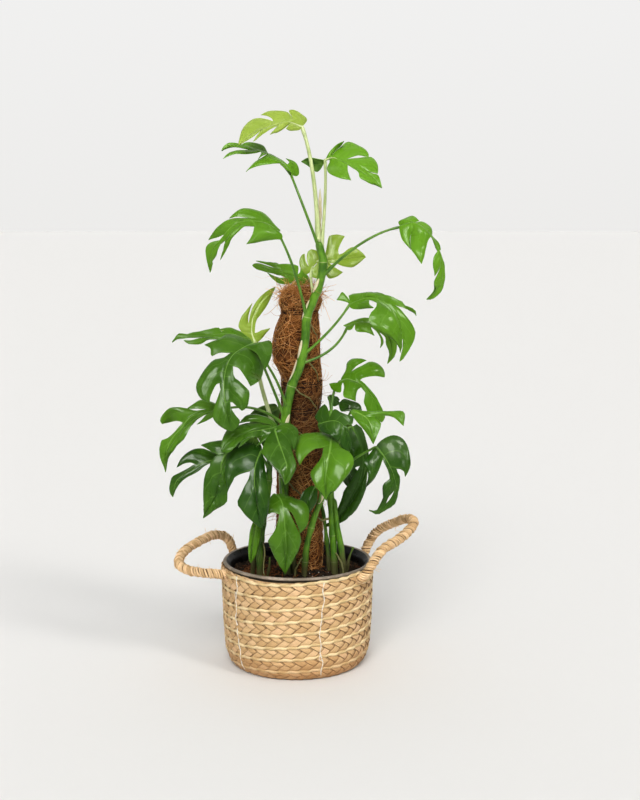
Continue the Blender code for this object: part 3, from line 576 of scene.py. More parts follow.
def buildSeamEdge():
    # the folded edge that shows as a pale cord along each seam; its paleness is partly painted highlight,
    # where the fold catches the light
    plan = basketPlan
    radius = plan["coilRadius"]
    sides = plan["edgeSides"]
    travel = np.arange(0, fullTurn * radius * (plan["rows"] - 0.02), plan["edgeStep"])
    angle = coilStart + fullTurn * 0.55 + travel / radius
    path = coilPoints(angle, 0 * angle, 1.9)[0]
    bead = np.abs(np.sin(math.pi * travel / plan["pitch"]))
    path[:, 2] += 0.45 * np.sin(fullTurn * travel / plan["pitch"]) + 0.5 * ripple(path, 40.0, 4)
    radii = (plan["edgeRadius"] + plan["edgeBead"] * (bead - 0.5) + 0.2 * ripple(path, 15.0, 5))
    radii *= np.clip(np.minimum(travel, travel[::-1]) / 30.0, 0.1, 1.0)
    outward = outwards(angle)
    ahead = unit(np.gradient(path, axis=0))
    cord = rods(path, radii, sides, 0.8, np.cross(outward, ahead)[None], outward[None])
    along = np.repeat(travel, sides)
    slant = np.tile(ringTurns(sides), len(path)) * 0.5 + along * 2 * math.pi / plan["pitch"]
    tone = 0.5 + 0.5 * np.sin(slant * 0.5 + 3)
    makePiece("basketSeamEdge", cord, [finishes["edge"]],
              {"along": along * 2, "across": np.sin(slant) * 1.3, "tone": tone}, faceOut=True)


def buildLining():
    # wall behind the plait, and the coiled underside
    plan = basketPlan
    heights = 3.0 + (plan["height"] - 6.0) * np.linspace(0.0, 1.0, 25)
    outline = [(0, 2.2)]
    outline += [(r, 2.2 + 0.9 * abs(math.sin(math.pi * r / 15.0))) for r in np.linspace(2, 82, 40)]
    outline += [(float(basketRadius(h)) - plan["liningDepth"], h) for h in heights]
    outline += [(float(basketRadius(h)) - plan["liningDepth"] - 1.2, h) for h in heights[::-1]]
    outline += [(79, 4.6), (0, 4.6)]
    shape = turned(outline, plan["liningColumns"])
    x, y, z = shape[0].T
    # across waves with the height, so the straw finish paints thin bands of its groove shade round the
    # lining
    marks = {"along": np.degrees(np.arctan2(y, x)) * 3, "across": np.sin(z), "tone": np.full(len(z), 0.15)}
    makePiece("basketLining", shape, [finishes["straw"]], marks, faceOut=True)


def buildFloorCoil():
    # flat coil under the basket, which shows when it is tipped
    plan = basketPlan
    sides = plan["edgeSides"]
    travel = np.linspace(0, 1, 900)
    angle = fullTurn * plan["floorTurns"] * travel
    reach = 4 + (plan["floorReach"] - 4) * travel
    path = around(angle, reach, plan["floorHeight"])
    upward = np.tile((0.0, 0.0, 1.0), (len(path), 1))
    coil = rods(path, plan["floorStrand"] * np.clip(travel * 12, 0.4, 1), sides, 0.3,
                outwards(angle)[None], upward[None])
    along = np.repeat(reach * angle, sides)
    # across runs round the coiled strand; the straw finish paints groove shade at its edges
    across = np.tile(np.cos(ringTurns(sides)), len(path))
    makePiece("basketFloorCoil", coil, [finishes["straw"]],
              {"along": along * 0.4, "across": across, "tone": 0.5 + 0.5 * np.sin(along / 6.0)},
              faceOut=True)


def buildThreads():
    # cotton thread that sews the rows together, in wandering upright lines
    plan = basketPlan
    thin = plan["threadRadius"] * 6 / 7
    sewn = []
    for k in range(plan["threads"]):
        middle = math.radians(-140 + 360 / plan["threads"] * k - (3 if k % 2 else 0))
        share = np.linspace(0.04, 0.985, 90)
        bearing = middle + 0.022 * np.sin(share * 8 + k) + 0.008 * np.sin(share * 31 + 2 * k)
        height = plan["height"] * share
        row = share * plan["rows"] - plan["tilt"] / 17.2 * np.cos(bearing) * np.sin(math.pi * share)
        row = row - (bearing - coilStart) / fullTurn
        proud = 1.1 + 1.0 * np.abs(np.sin(math.pi * row)) ** 0.7
        line = around(bearing, basketRadius(height) - 1.5 + proud * 0.95, height)
        sewn.append(rods(line, plan["threadRadius"], 6))
        sewn.append(rods(line + np.stack([0.9 * np.sin(share * 40), 0 * share, 0 * share], -1), thin, 6))
    for bearing, height in plan["threadLoops"]:   # loose loops by the seams
        spot = math.radians(bearing)
        turn = np.linspace(0.3, 5.9, 18)[:, None]
        side = np.array([-math.sin(spot), math.cos(spot), 0])
        centre = around(spot, basketRadius(height) + 0.6, height)
        upward = np.array([0, 0, 1.0])
        loop = centre + (3.0 * np.sin(turn) + 0.8 * turn) * side + 4.2 * np.cos(turn) * upward
        sewn.append(rods(loop, thin, 6))
    makePiece("basketThreads", gather(sewn), [finishes["thread"]])


buildPlait()
buildSeamEdge()
buildLining()
buildFloorCoil()
buildThreads()
print("basket plaited")

handlePlan = dict(
    left=((-80, -30, 127), (-88, -34, 129), (-101, -39, 130), (-122, -45, 134), (-146, -35, 135),
          (-160, -15, 139), (-157, 10, 147), (-137, 35, 157), (-114, 57, 161), (-99, 65, 152),
          (-93, 62, 140), (-88, 58, 131), (-79, 52, 126)),
    right=((75, -56, 126), (85, -64, 131), (94, -66, 142), (104, -58, 156), (117, -42, 167), (136, -25, 174),
           (152, -5, 182), (160, 15, 189), (153, 36, 189), (136, 52, 180), (114, 60, 167), (101, 62, 151),
           (96, 59, 139), (90, 56, 130), (80, 50, 126)),
    core=4.1, coreSides=12, wrapReach=4.85, wrapWidth=1.62, wrapThick=1.75, lead=13.6, starts=4, sides=8,
    stations=420, hairs=26, hairRadius=0.22)


def buildHandle(name, node, points, seed):
    plan = handlePlan
    pick = np.random.default_rng(seed)
    stations = plan["stations"]
    sides = plan["sides"]
    centre, length = evenPath(smoothPath(points, 12), stations)
    ahead, side, up = (v[0] for v in carryFrames(centre[None]))
    places = np.linspace(0, length, stations)
    corners = stations * plan["coreSides"]
    shapes = [rods(centre, plan["core"], plan["coreSides"])]
    # the core is marked as all edge, so the rope finish paints it wholly in the groove's painted shade,
    # showing as shade between the wraps
    marks = [(np.repeat(places, plan["coreSides"]), np.full(corners, 1.0), np.zeros(corners))]
    travel = np.linspace(0, length, int(length / plan["lead"] * 20))
    spot, sideways, upward = (readLine(travel, places, v) for v in (centre, side, up))
    for start in range(plan["starts"]):   # strands wound side by side round the core
        slip = 0.35 * np.sin(travel / 9.0 + seed + 2 * start) + 0.25 * np.sin(travel / 3.7 + start)
        turn = 2 * math.pi * (travel / plan["lead"] + start / plan["starts"]) + slip * 0.5
        reach = plan["wrapReach"] + 0.35 * ripple(spot, 8.0, seed + start)
        reach = reach + 0.4 * np.sin(turn * 0.5 + seed + 2 * start)
        out = sideways * np.cos(turn)[:, None] + upward * np.sin(turn)[:, None]
        path = spot + out * reach[:, None]
        along = unit(np.gradient(path, axis=0))
        wide = plan["wrapWidth"] * (1 + 0.14 * ripple(path, 14.0, seed + 5 + start))
        flat = plan["wrapThick"] / plan["wrapWidth"]
        shapes.append(rods(path, wide, sides, flat, np.cross(out, along)[None], out[None]))
        wraps = np.floor(turn / fullTurn).astype(int)
        tones = pick.uniform(0, 1, wraps.max() + 2)
        across = np.tile(np.cos(ringTurns(sides)), len(travel))
        # across runs over each wrap; the rope finish paints groove shade at its edges
        marks.append((np.repeat(travel * 3.0, sides), across, np.repeat(tones[wraps], sides)))
    hairs = []
    for k in range(plan["hairs"]):   # split ends of the wrapping
        i = pick.integers(20, 400)
        out = unit(side[i] * pick.normal() + up[i] * pick.normal())
        lean = unit(out * 0.6 + ahead[i] * pick.uniform(-1, 1))
        start = centre[i] + out * 5.6
        s = np.linspace(0, 1, 6)[:, None]
        hairs.append(start + lean * s * pick.uniform(3, 8) + out * s**2 * pick.uniform(-1.5, 2.0))
    shapes.append(rods(np.array(hairs), plan["hairRadius"], 4))
    count = len(shapes[-1][0])
    marks.append((np.zeros(count), np.zeros(count), np.full(count, 0.6)))
    handle = makePiece(name, gather(shapes), [finishes["rope"]], joinMarks(marks), faceOut=True)
    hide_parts(node)


buildHandle("handleWrapLeft", "basket_handle_left", handlePlan["left"], 3)
buildHandle("handleWrapRight", "basket_handle_right", handlePlan["right"], 8)
print("handles wrapped")

# pot and soil

potPlan = dict(floor=8.3, wall=1.6, foot=76.0, top=93.0, rim=101.0, rimLow=137.8, rimHigh=142.0, columns=144)
soilPlan = dict(edge=123.0, crown=8.0, columns=180, rings=62, crumbs=1500, perlite=90,
                bits=170, husk=260, huskPlace=(-55, -22), huskSpread=17.0)


def potInner(height):
    plan = potPlan
    slope = (plan["top"] - plan["foot"]) / (plan["rimLow"] - plan["floor"])
    return plan["foot"] + slope * (height - plan["floor"]) - plan["wall"]


def buildPot():
    plan = potPlan
    foot, top, rim, low, high = (plan[key] for key in ("foot", "top", "rim", "rimLow", "rimHigh"))
    floor = plan["floor"] + plan["wall"]
    outer = [(0, plan["floor"]), (foot - 4, plan["floor"]), (foot - 1, plan["floor"] + 1),
             (foot, plan["floor"] + 4), (top - 1, low - 3), (top + 1.5, low), (rim - 1.6, low + 0.1),
             (rim - 0.5, low + 0.5), (rim, low + 1.4), (rim - 0.1, high - 1.3), (rim - 0.8, high - 0.4),
             (rim - 2.0, high), (rim - 3.6, high - 0.1), (rim - 4.6, high - 0.8)]
    inner = [(rim - 5.6, high - 2.6), (potInner(low) + 0.6, low - 1.2), (potInner(134), 134),
             (potInner(131) - 0.5, 131), (potInner(128), 128), (potInner(90), 90), (potInner(floor), floor),
             (0, floor)]
    columns = plan["columns"]
    outerBands = len(outer) - 2
    innerBands = len(inner) - 1
    faceFinish = np.repeat([0] * outerBands + [1] * innerBands + [0, 1], columns)
    pot = makePiece("potShell", turned(outer + inner, columns), [finishes["rim"], finishes["inner"]], None,
                    faceFinish, sharp=50, faceOut=True)
    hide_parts("nursery_pot")


def soilHeight(x, y):
    radius = np.hypot(x, y)
    fade = np.clip((88 - radius) / 20, 0, 1)
    bumps = 1.3 * np.sin(0.11 * x + 1.0) * np.cos(0.13 * y) + 0.9 * np.sin(0.21 * y + 0.08 * x)
    return soilPlan["edge"] + soilPlan["crown"] * (1 - (radius / 90) ** 2) + fade * bumps


def roughSoil(points):
    place = points[..., :2]
    lift = 0.9 * ripple(place, 14.0, 31) + 0.7 * ripple(place, 6.0, 32) + 0.5 * ripple(place, 3.2, 33)
    surface = soilHeight(place[..., 0], place[..., 1]) + lift
    points[..., 2] = np.where(points[..., 2] > 50, surface, points[..., 2])
    return points


def scatter(pick, count, reach=88.0, near=None, spread=20.0):
    # places on the soil, all over it or round one place
    angle = pick.uniform(0, 2 * math.pi, count)
    radius = reach * np.sqrt(pick.uniform(0, 1, count))
    place = np.stack([radius * np.cos(angle), radius * np.sin(angle)], -1)
    if near is not None:
        place = np.array(near) + pick.normal(0, spread, (count, 2))
        far = np.maximum(np.hypot(*place.T) / reach, 1.0)
        place = place / far[:, None]
    return np.column_stack([place, soilHeight(*place.T) + 0.4])


def litter(pick, places, low, high, arch):
    # bent threads that lie on the soil, low to high long
    lines = []
    for spot in places:
        bearing = pick.uniform(0, 2 * math.pi)
        turning = pick.normal(0, 0.25)
        length = pick.uniform(low, high)
        line = [np.array(spot)]
        for k in range(8):
            step = np.array([math.cos(bearing), math.sin(bearing), 0]) * length / 8
            bearing += turning + pick.normal(0, 0.12)
            line.append(line[-1] + step)
        line = np.array(line)
        line[:, :2] /= np.maximum(np.hypot(line[:, 0], line[:, 1]) / 89.0, 1.0)[:, None]
        line[:, 2] = soilHeight(line[:, 0], line[:, 1]) + 0.6 + arch * np.sin(np.linspace(0, math.pi, 9))
        lines.append(line)
    return np.array(lines)


def buildSoil():
    plan = soilPlan
    pick = np.random.default_rng(21)
    edge = potInner(plan["edge"]) - 0.5
    floor = potPlan["floor"] + potPlan["wall"] + 0.4
    outline = [(0, floor), (potInner(floor) - 0.6, floor), (edge - 0.2, plan["edge"] - 6)]
    outline += [(r, 100) for r in np.linspace(edge, 1.2, plan["rings"])]
    outline += [(0, plan["edge"] + plan["crown"] + 1)]
    bed = makePiece("soilBed", turned(outline, plan["columns"], roughSoil), [finishes["soil"]],
                    faceOut=True)
    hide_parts("potting_soil")

    sizes = pick.gamma(2.0, 0.7, plan["crumbs"]) + 0.5
    makePiece("soilCrumbs", lumps(scatter(pick, plan["crumbs"]), np.minimum(sizes, 4.2), 5),
              [finishes["crumb"]])
    white = scatter(pick, plan["perlite"])
    makePiece("soilPerlite", lumps(white, pick.uniform(0.6, 1.5, plan["perlite"]), 6),
              [finishes["perlite"]])
    husk = scatter(pick, plan["husk"], near=plan["huskPlace"], spread=plan["huskSpread"])
    threads = litter(pick, husk, 8, 26, 2.2)
    threads = np.vstack([threads, litter(pick, scatter(pick, plan["bits"]), 6, 20, 1.4)])
    shape = rods(threads, pick.uniform(0.25, 0.6, (len(threads), 1)), 4)
    tone = np.repeat(pick.uniform(0.1, 0.9, len(threads)), 9 * 4)
    makePiece("soilHusk", shape, [finishes["coirCore"]], {"tone": tone})


buildPot()
buildSoil()
print("pot filled")

# coir pole

polePlan = dict(   # the profile holds the height, how far the middle lies to the right, and the radius
    profile=((40, 3, 30), (140, 3, 30), (160, 3, 30.5), (223, 3.5, 30.5), (290, 4, 30), (325, 4, 28),
             (348, 4, 25), (374, 7, 26.5), (393, 6, 26), (413, 0, 30.5), (436, -1, 31), (457, 1, 28.5),
             (477, 4, 23.3), (494, 5, 28), (506, 5, 23), (512, 5, 12)),
    coreInset=2.2, coreRings=150, coreColumns=90,
    fibres=2750, fibreRadius=0.36, fibrePoints=11, fibreSpan=(128, 510),
    strays=640, tuft=860, tuftTop=525, hairLength=12.0,
    ties=(347, 382, 478), tieRadius=0.6)


def polePlace(height):
    heights, middles, radii = (np.array(c, float) for c in zip(*polePlan["profile"]))
    return np.interp(height, heights, middles), np.interp(height, heights, radii)


def poleSurface(angle, height, lift):
    middle, radius = polePlace(height)
    spot = around(angle, radius + lift, height)
    spot[..., 0] += middle
    return spot


def roughPole(points):
    lift = 1.5 * ripple(points * (1, 1, 0.5), 22.0, 41)
    lift = lift + 0.8 * ripple(points, 7.0, 42) + 0.4 * ripple(points, 3.0, 43)
    radius = np.hypot(points[..., 0], points[..., 1])
    scale = (radius + np.clip(lift, -3.5, 1.2)) / radius
    points[..., 0] = points[..., 0] * scale + polePlace(points[..., 2])[0]
    points[..., 1] *= scale
    return points


def buildCore():
    plan = polePlan
    heights = np.concatenate([[40, 100], np.linspace(118, 509, plan["coreRings"]), [511.5]])
    outline = [(0, 40)] + [(float(polePlace(h)[1]) - plan["coreInset"], h) for h in heights] + [(0, 512)]
    shape = turned(outline, plan["coreColumns"], roughPole)
    tone = 0.4 + 0.3 * ripple(shape[0], 9.0, 45)
    core = makePiece("coirCore", shape, [finishes["coirCore"]], {"tone": tone}, faceOut=True)
    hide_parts("coir_pole")


def buildFibres(pick):
    # matted fibres, laid every way round the core
    plan = polePlan
    count = plan["fibres"]
    points = plan["fibrePoints"]
    angle = np.zeros((count, points))
    height = np.zeros((count, points))
    angle[:, 0] = pick.uniform(0, 2 * math.pi, count)
    low, high = plan["fibreSpan"]
    height[:, 0] = low + (high - low) * pick.uniform(0, 1, count)
    lean = pick.choice([-1, 1], count) * np.abs(pick.normal(0.55, 0.35, count))
    drift = pick.normal(0, 0.10, count)
    step = pick.uniform(2.6, 6.0, count)
    for k in range(1, points):
        lean += drift + pick.normal(0, 0.10, count)
        radius = polePlace(height[:, k - 1])[1]
        angle[:, k] = angle[:, k - 1] + step * np.cos(lean) / radius
        height[:, k] = np.clip(height[:, k - 1] + step * np.sin(lean), low - 4, high)
    depth = pick.uniform(-1.4, 1.3, (count, 1))
    depth = depth + 0.8 * np.sin(np.linspace(0, math.pi, points)) * pick.uniform(0, 1, (count, 1))
    lines = poleSurface(angle, height, depth)
    shape = rods(lines, pick.uniform(0.7, 1.3, (count, 1)) * plan["fibreRadius"], 3)
    tone = np.repeat(np.clip(pick.normal(0.5, 0.3, count), 0, 1), points * 3)
    makePiece("coirFibres", shape, [finishes["coir"]], {"tone": tone})


def looseHairs(pick, count, low, high, out, rise, radius):
    # loose bent hairs that stand off the pole between two heights
    lines = []
    for k in range(count):
        bearing = pick.uniform(0, 2 * math.pi)
        start = pick.uniform(low, high)
        spot = poleSurface(np.array(bearing), np.array(start), -0.5)
        away = np.array([math.cos(bearing) * out, math.sin(bearing) * out, rise])
        lean = unit(away + pick.normal(0, 0.8, 3))
        bend = pick.normal(0, 0.6, 3)
        length = pick.gamma(2.2, polePlan["hairLength"] / 2.2)
        line = [spot]
        for s in range(7):
            lean = unit(lean + bend * 0.5 + pick.normal(0, 0.15, 3))
            line.append(line[-1] + lean * length / 7)
        lines.append(line)
    return rods(np.array(lines), radius * np.linspace(1, 0.55, 8)[None], 3)


def buildHairs(pick):
    # stray hairs round the pole and the tuft on top
    plan = polePlan
    stray = looseHairs(pick, plan["strays"], 140, 505, 0.8, 0.0, 0.25)
    tuft = looseHairs(pick, plan["tuft"], 498, 512, 0.35, 0.6, 0.34)
    shape = gather([stray, tuft])
    shape[0][:, 2] = np.minimum(shape[0][:, 2], plan["tuftTop"] + 2 * np.sin(shape[0][:, 0]))
    tones = np.concatenate([pick.uniform(0.2, 0.9, plan["strays"]), pick.uniform(0.45, 1.0, plan["tuft"])])
    makePiece("coirHairs", shape, [finishes["coir"]], {"tone": np.repeat(tones, 24)})


def buildTies():
    # string that draws the coir in at the waists
    loops = []
    for height in polePlan["ties"]:
        for k in range(3):
            turn = np.linspace(0, 2 * math.pi * 1.02, 60)
            lift = 0.5 + 0.4 * np.sin(3 * turn + k)
            level = height + 1.9 * k + 1.2 * np.sin(turn + 2 * k)
            loops.append(rods(poleSurface(turn + k, level, lift), polePlan["tieRadius"], 6))
    shape = gather(loops)
    makePiece("coirTies", shape, [finishes["string"]], {"tone": np.full(len(shape[0]), 0.3)})


polePick = np.random.default_rng(40)
buildCore()
buildFibres(polePick)
buildHairs(polePick)
buildTies()
print("pole bound")


# stems

stemPlan = {   # centreline, radius at the foot and at the top, heights of the joints
    "vine": (((-12, -36, 60), (-13, -35, 150), (-17, -33, 230), (-16, -33, 297), (-14, -34, 345),
              (-6, -34, 384), (2, -36, 403), (8, -38, 424), (12, -37, 449), (14, -36, 474),
              (23, -36, 498), (32, -37, 523), (35, -38, 546), (32, -38, 560), (28, -38, 574)), 6.9, 5.3,
             (150, 205, 262, 300, 334, 384, 424, 474, 510, 546)),
    "centre": (((8, -44, 80), (12, -46, 160), (22, -46, 205), (36, -46, 245), (43, -45, 283)), 4.5, 3.6,
               (150, 196, 232, 270)),
    "right": (((52, -30, 80), (50, -30, 150), (45, -28, 243), (44, -26, 310), (46, -24, 352)), 5.2, 4.0,
              (146, 182, 226, 268, 304, 335)),
    "left": (((-50, -42, 80), (-49, -43, 160), (-44, -44, 205), (-37, -44, 250), (-35, -43, 306)), 4.6, 3.6,
             (152, 178, 200, 260, 288)),
    "back": (((14, 46, 80), (10, 46, 200), (2, 45, 280), (-4, 44, 340)), 4.6, 3.8, (160, 240, 300, 322)),
}


def stemSpot(stem, height):
    path = smoothPath(stemPlan[stem][0], 4)
    return readLine(height, path[:, 2], path)


def stemShape(points, foot, top, joints, sides, bark=(120, 190)):
    # a stem that swells at its joints, with the marks of its joints and of its bark
    path, length = evenPath(smoothPath(points, 10), max(40, int(1.2 * len(points) * 14)))
    radii = np.linspace(foot, top, len(path))
    joint = np.zeros(len(path))
    for height in joints:
        joint = np.maximum(joint, np.exp(-((path[:, 2] - height) / 1.3) ** 2))
        radii = radii + 0.75 * np.exp(-((path[:, 2] - height) / 5.0) ** 2)
    radii = radii + 0.25 * ripple(path, 22.0, int(abs(points[0][0])) + 3)
    # the stem closes in a blunt bud
    bud = np.clip(np.linspace(length, 0, len(path)) / (2.2 * top), 0.02, 1)
    radii = radii * np.sqrt(1 - (1 - bud) ** 2)
    old = np.clip((bark[1] - path[:, 2]) / (bark[1] - bark[0]), 0, 1)
    return rods(path, radii, sides), np.repeat(joint, sides), np.repeat(old, sides)


def buildStems():
    for stem, (points, foot, top, joints) in stemPlan.items():
        shape, joint, old = stemShape(points, foot, top, joints, 18)
        piece = makePiece("stem" + stem.capitalize(), shape, [finishes["stem"]],
                          {"node": joint, "bark": old}, faceOut=True)
        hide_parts("vine" if stem == "vine" else "stem_" + stem)


shootPlan = {   # slimmer shoots and old leaf stalks near the soil: points, radius at the foot and the top
    "shootRightOuter": (((62, -32, 128), (60, -34, 160), (54, -33, 195), (50, -31, 232)), 4.6, 3.2),
    "shootRightOld": (((44, -20, 130), (40, -18, 172), (36, -14, 205), (30, -10, 236)), 3.4, 1.6),
    "shootRightStub": (((66, -22, 126), (70, -24, 148), (76, -24, 164)), 2.6, 1.2),
    "shootLeftSide": (((-60, -34, 128), (-56, -38, 156), (-50, -42, 190)), 3.2, 2.4),
    "shootLeftStub": (((-40, -52, 127), (-36, -58, 146), (-35, -62, 160)), 2.2, 0.9),
    "shootMiddle": (((-2, -40, 128), (-6, -42, 168), (-14, -44, 214), (-20, -46, 262)), 3.4, 2.2),
}
rootPlan = (   # aerial roots, from the stems into the coir or down to the soil: points and both radii
    (((46, -28, 206), (36, -34, 203), (27, -35, 207), (17, -30, 214)), 1.7, 0.9),
    (((-14, -36, 262), (-6, -41, 250), (6, -37, 238), (14, -30, 226)), 1.3, 0.6),
    (((-13, -36, 334), (-2, -38, 326), (8, -33, 318), (15, -26, 306)), 1.3, 0.6),
    (((-6, -35, 384), (6, -38, 374), (18, -32, 366), (26, -22, 352)), 1.3, 0.6),
    (((8, -39, 424), (18, -39, 414), (26, -32, 402), (29, -20, 388)), 1.2, 0.5),
    (((14, -37, 474), (20, -37, 462), (26, -30, 450), (28, -18, 440)), 1.1, 0.5),
    (((12, -46, 160), (2, -50, 148), (-2, -52, 134), (0, -54, 124)), 1.4, 0.9),
    (((-47, -44, 182), (-42, -52, 164), (-44, -58, 144), (-40, -62, 126)), 1.3, 0.8),
    (((50, -31, 160), (58, -40, 150), (62, -46, 138), (60, -50, 124)), 1.4, 0.9),
    (((10, 46, 210), (16, 40, 202), (20, 34, 190), (22, 28, 178)), 1.3, 0.6),
    (((4, 45, 262), (12, 40, 252), (18, 33, 240), (22, 27, 228)), 1.2, 0.5),
)
sheathPlan = dict(   # old ones by stem, height, bearing in degrees and length, and the line of the new one
    old=(("vine", 474, -165, 26), ("vine", 424, -150, 24), ("vine", 392, -170, 30), ("vine", 510, -140, 18),
         ("vine", 334, -80, 16), ("right", 268, -60, 20), ("centre", 232, -110, 16)),
    new=((29, -35, 566), (30, -28, 590), (31, -26, 615), (31, -25, 640)))


def buildShoots():
    for name, (points, foot, top) in shootPlan.items():
        joints = (points[0][2] + 14, points[0][2] + 40)
        shape, joint, old = stemShape(points, foot, top, joints, 12, (125, 205))
        makePiece(name, shape, [finishes["stem"]], {"node": joint * 0.7, "bark": old},
                  faceOut=True)


def buildRoots():
    shapes = []
    for k, (points, foot, top) in enumerate(rootPlan):
        path = evenPath(smoothPath(points, 8), 30)[0]
        path = path + 0.5 * np.stack([ripple(path, 9.0, k + 50 + i) for i in range(3)], -1)
        shapes.append(rods(path, np.linspace(foot, top, 30), 8))
    shape = gather(shapes)
    count = len(shape[0])
    marks = {"node": np.full(count, 0.3), "bark": np.full(count, 0.25)}
    makePiece("aerialRoots", shape, [finishes["root"]], marks, faceOut=True)


def buildSheaths():
    # dry papery sheath of the newest leaf, and the remains of older ones at the joints
    line = evenPath(smoothPath(sheathPlan["new"], 10), 40)[0]
    radii = np.interp(np.linspace(0, 1, 40), (0, 0.4, 0.8, 1), (2.9, 2.8, 2.2, 0.7))
    shape = rods(line, radii * (1 + 0.12 * ripple(line, 14.0, 90)), 12, 0.75)
    sheath = makePiece("paperySheathNew", shape, [finishes["paper"]], faceOut=True)
    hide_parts("papery_sheath")
    shapes = []
    for stem, height, bearing, length in sheathPlan["old"]:
        share = np.linspace(0, 1, 14)
        spots = stemSpot(stem, height - 3 + length * share)
        out = outwards(math.radians(bearing) + 0.5 * share)
        line = spots + out * (stemPlan[stem][1] * 0.92 + 0.9 * share[:, None] ** 2 * 1.6)
        wide = 2.6 * np.sin(math.pi * np.clip(share * 0.9 + 0.08, 0, 1)) ** 0.6
        ahead = unit(np.gradient(line, axis=0))
        shapes.append(rods(line, np.maximum(wide, 0.3), 8, 0.16, np.cross(out, ahead)[None], out[None]))
    makePiece("oldSheaths", gather(shapes), [finishes["paper"]], faceOut=True)


buildStems()
buildShoots()
buildRoots()
buildSheaths()
print("stems grown")

# leaves

cameraPlan = dict(   # place in metres; middle, frame and focal length in dots of the photograph
    place=(0.031, -1.72, 0.602), tilt=82.0, middle=(320, 400), frame=800.0, focal=1293.0, sensor=36.0)
leafShape = dict(thickness=0.7, wave=0.006, rows=26, columns=22, forkColumns=5, arch=0.05, veinStep=0.09,
                 weld=0.02, sharp=60)


def tip(*spot):
    return ("tip", spot)


def fork(share, *spot):
    return ("fork", spot, share)
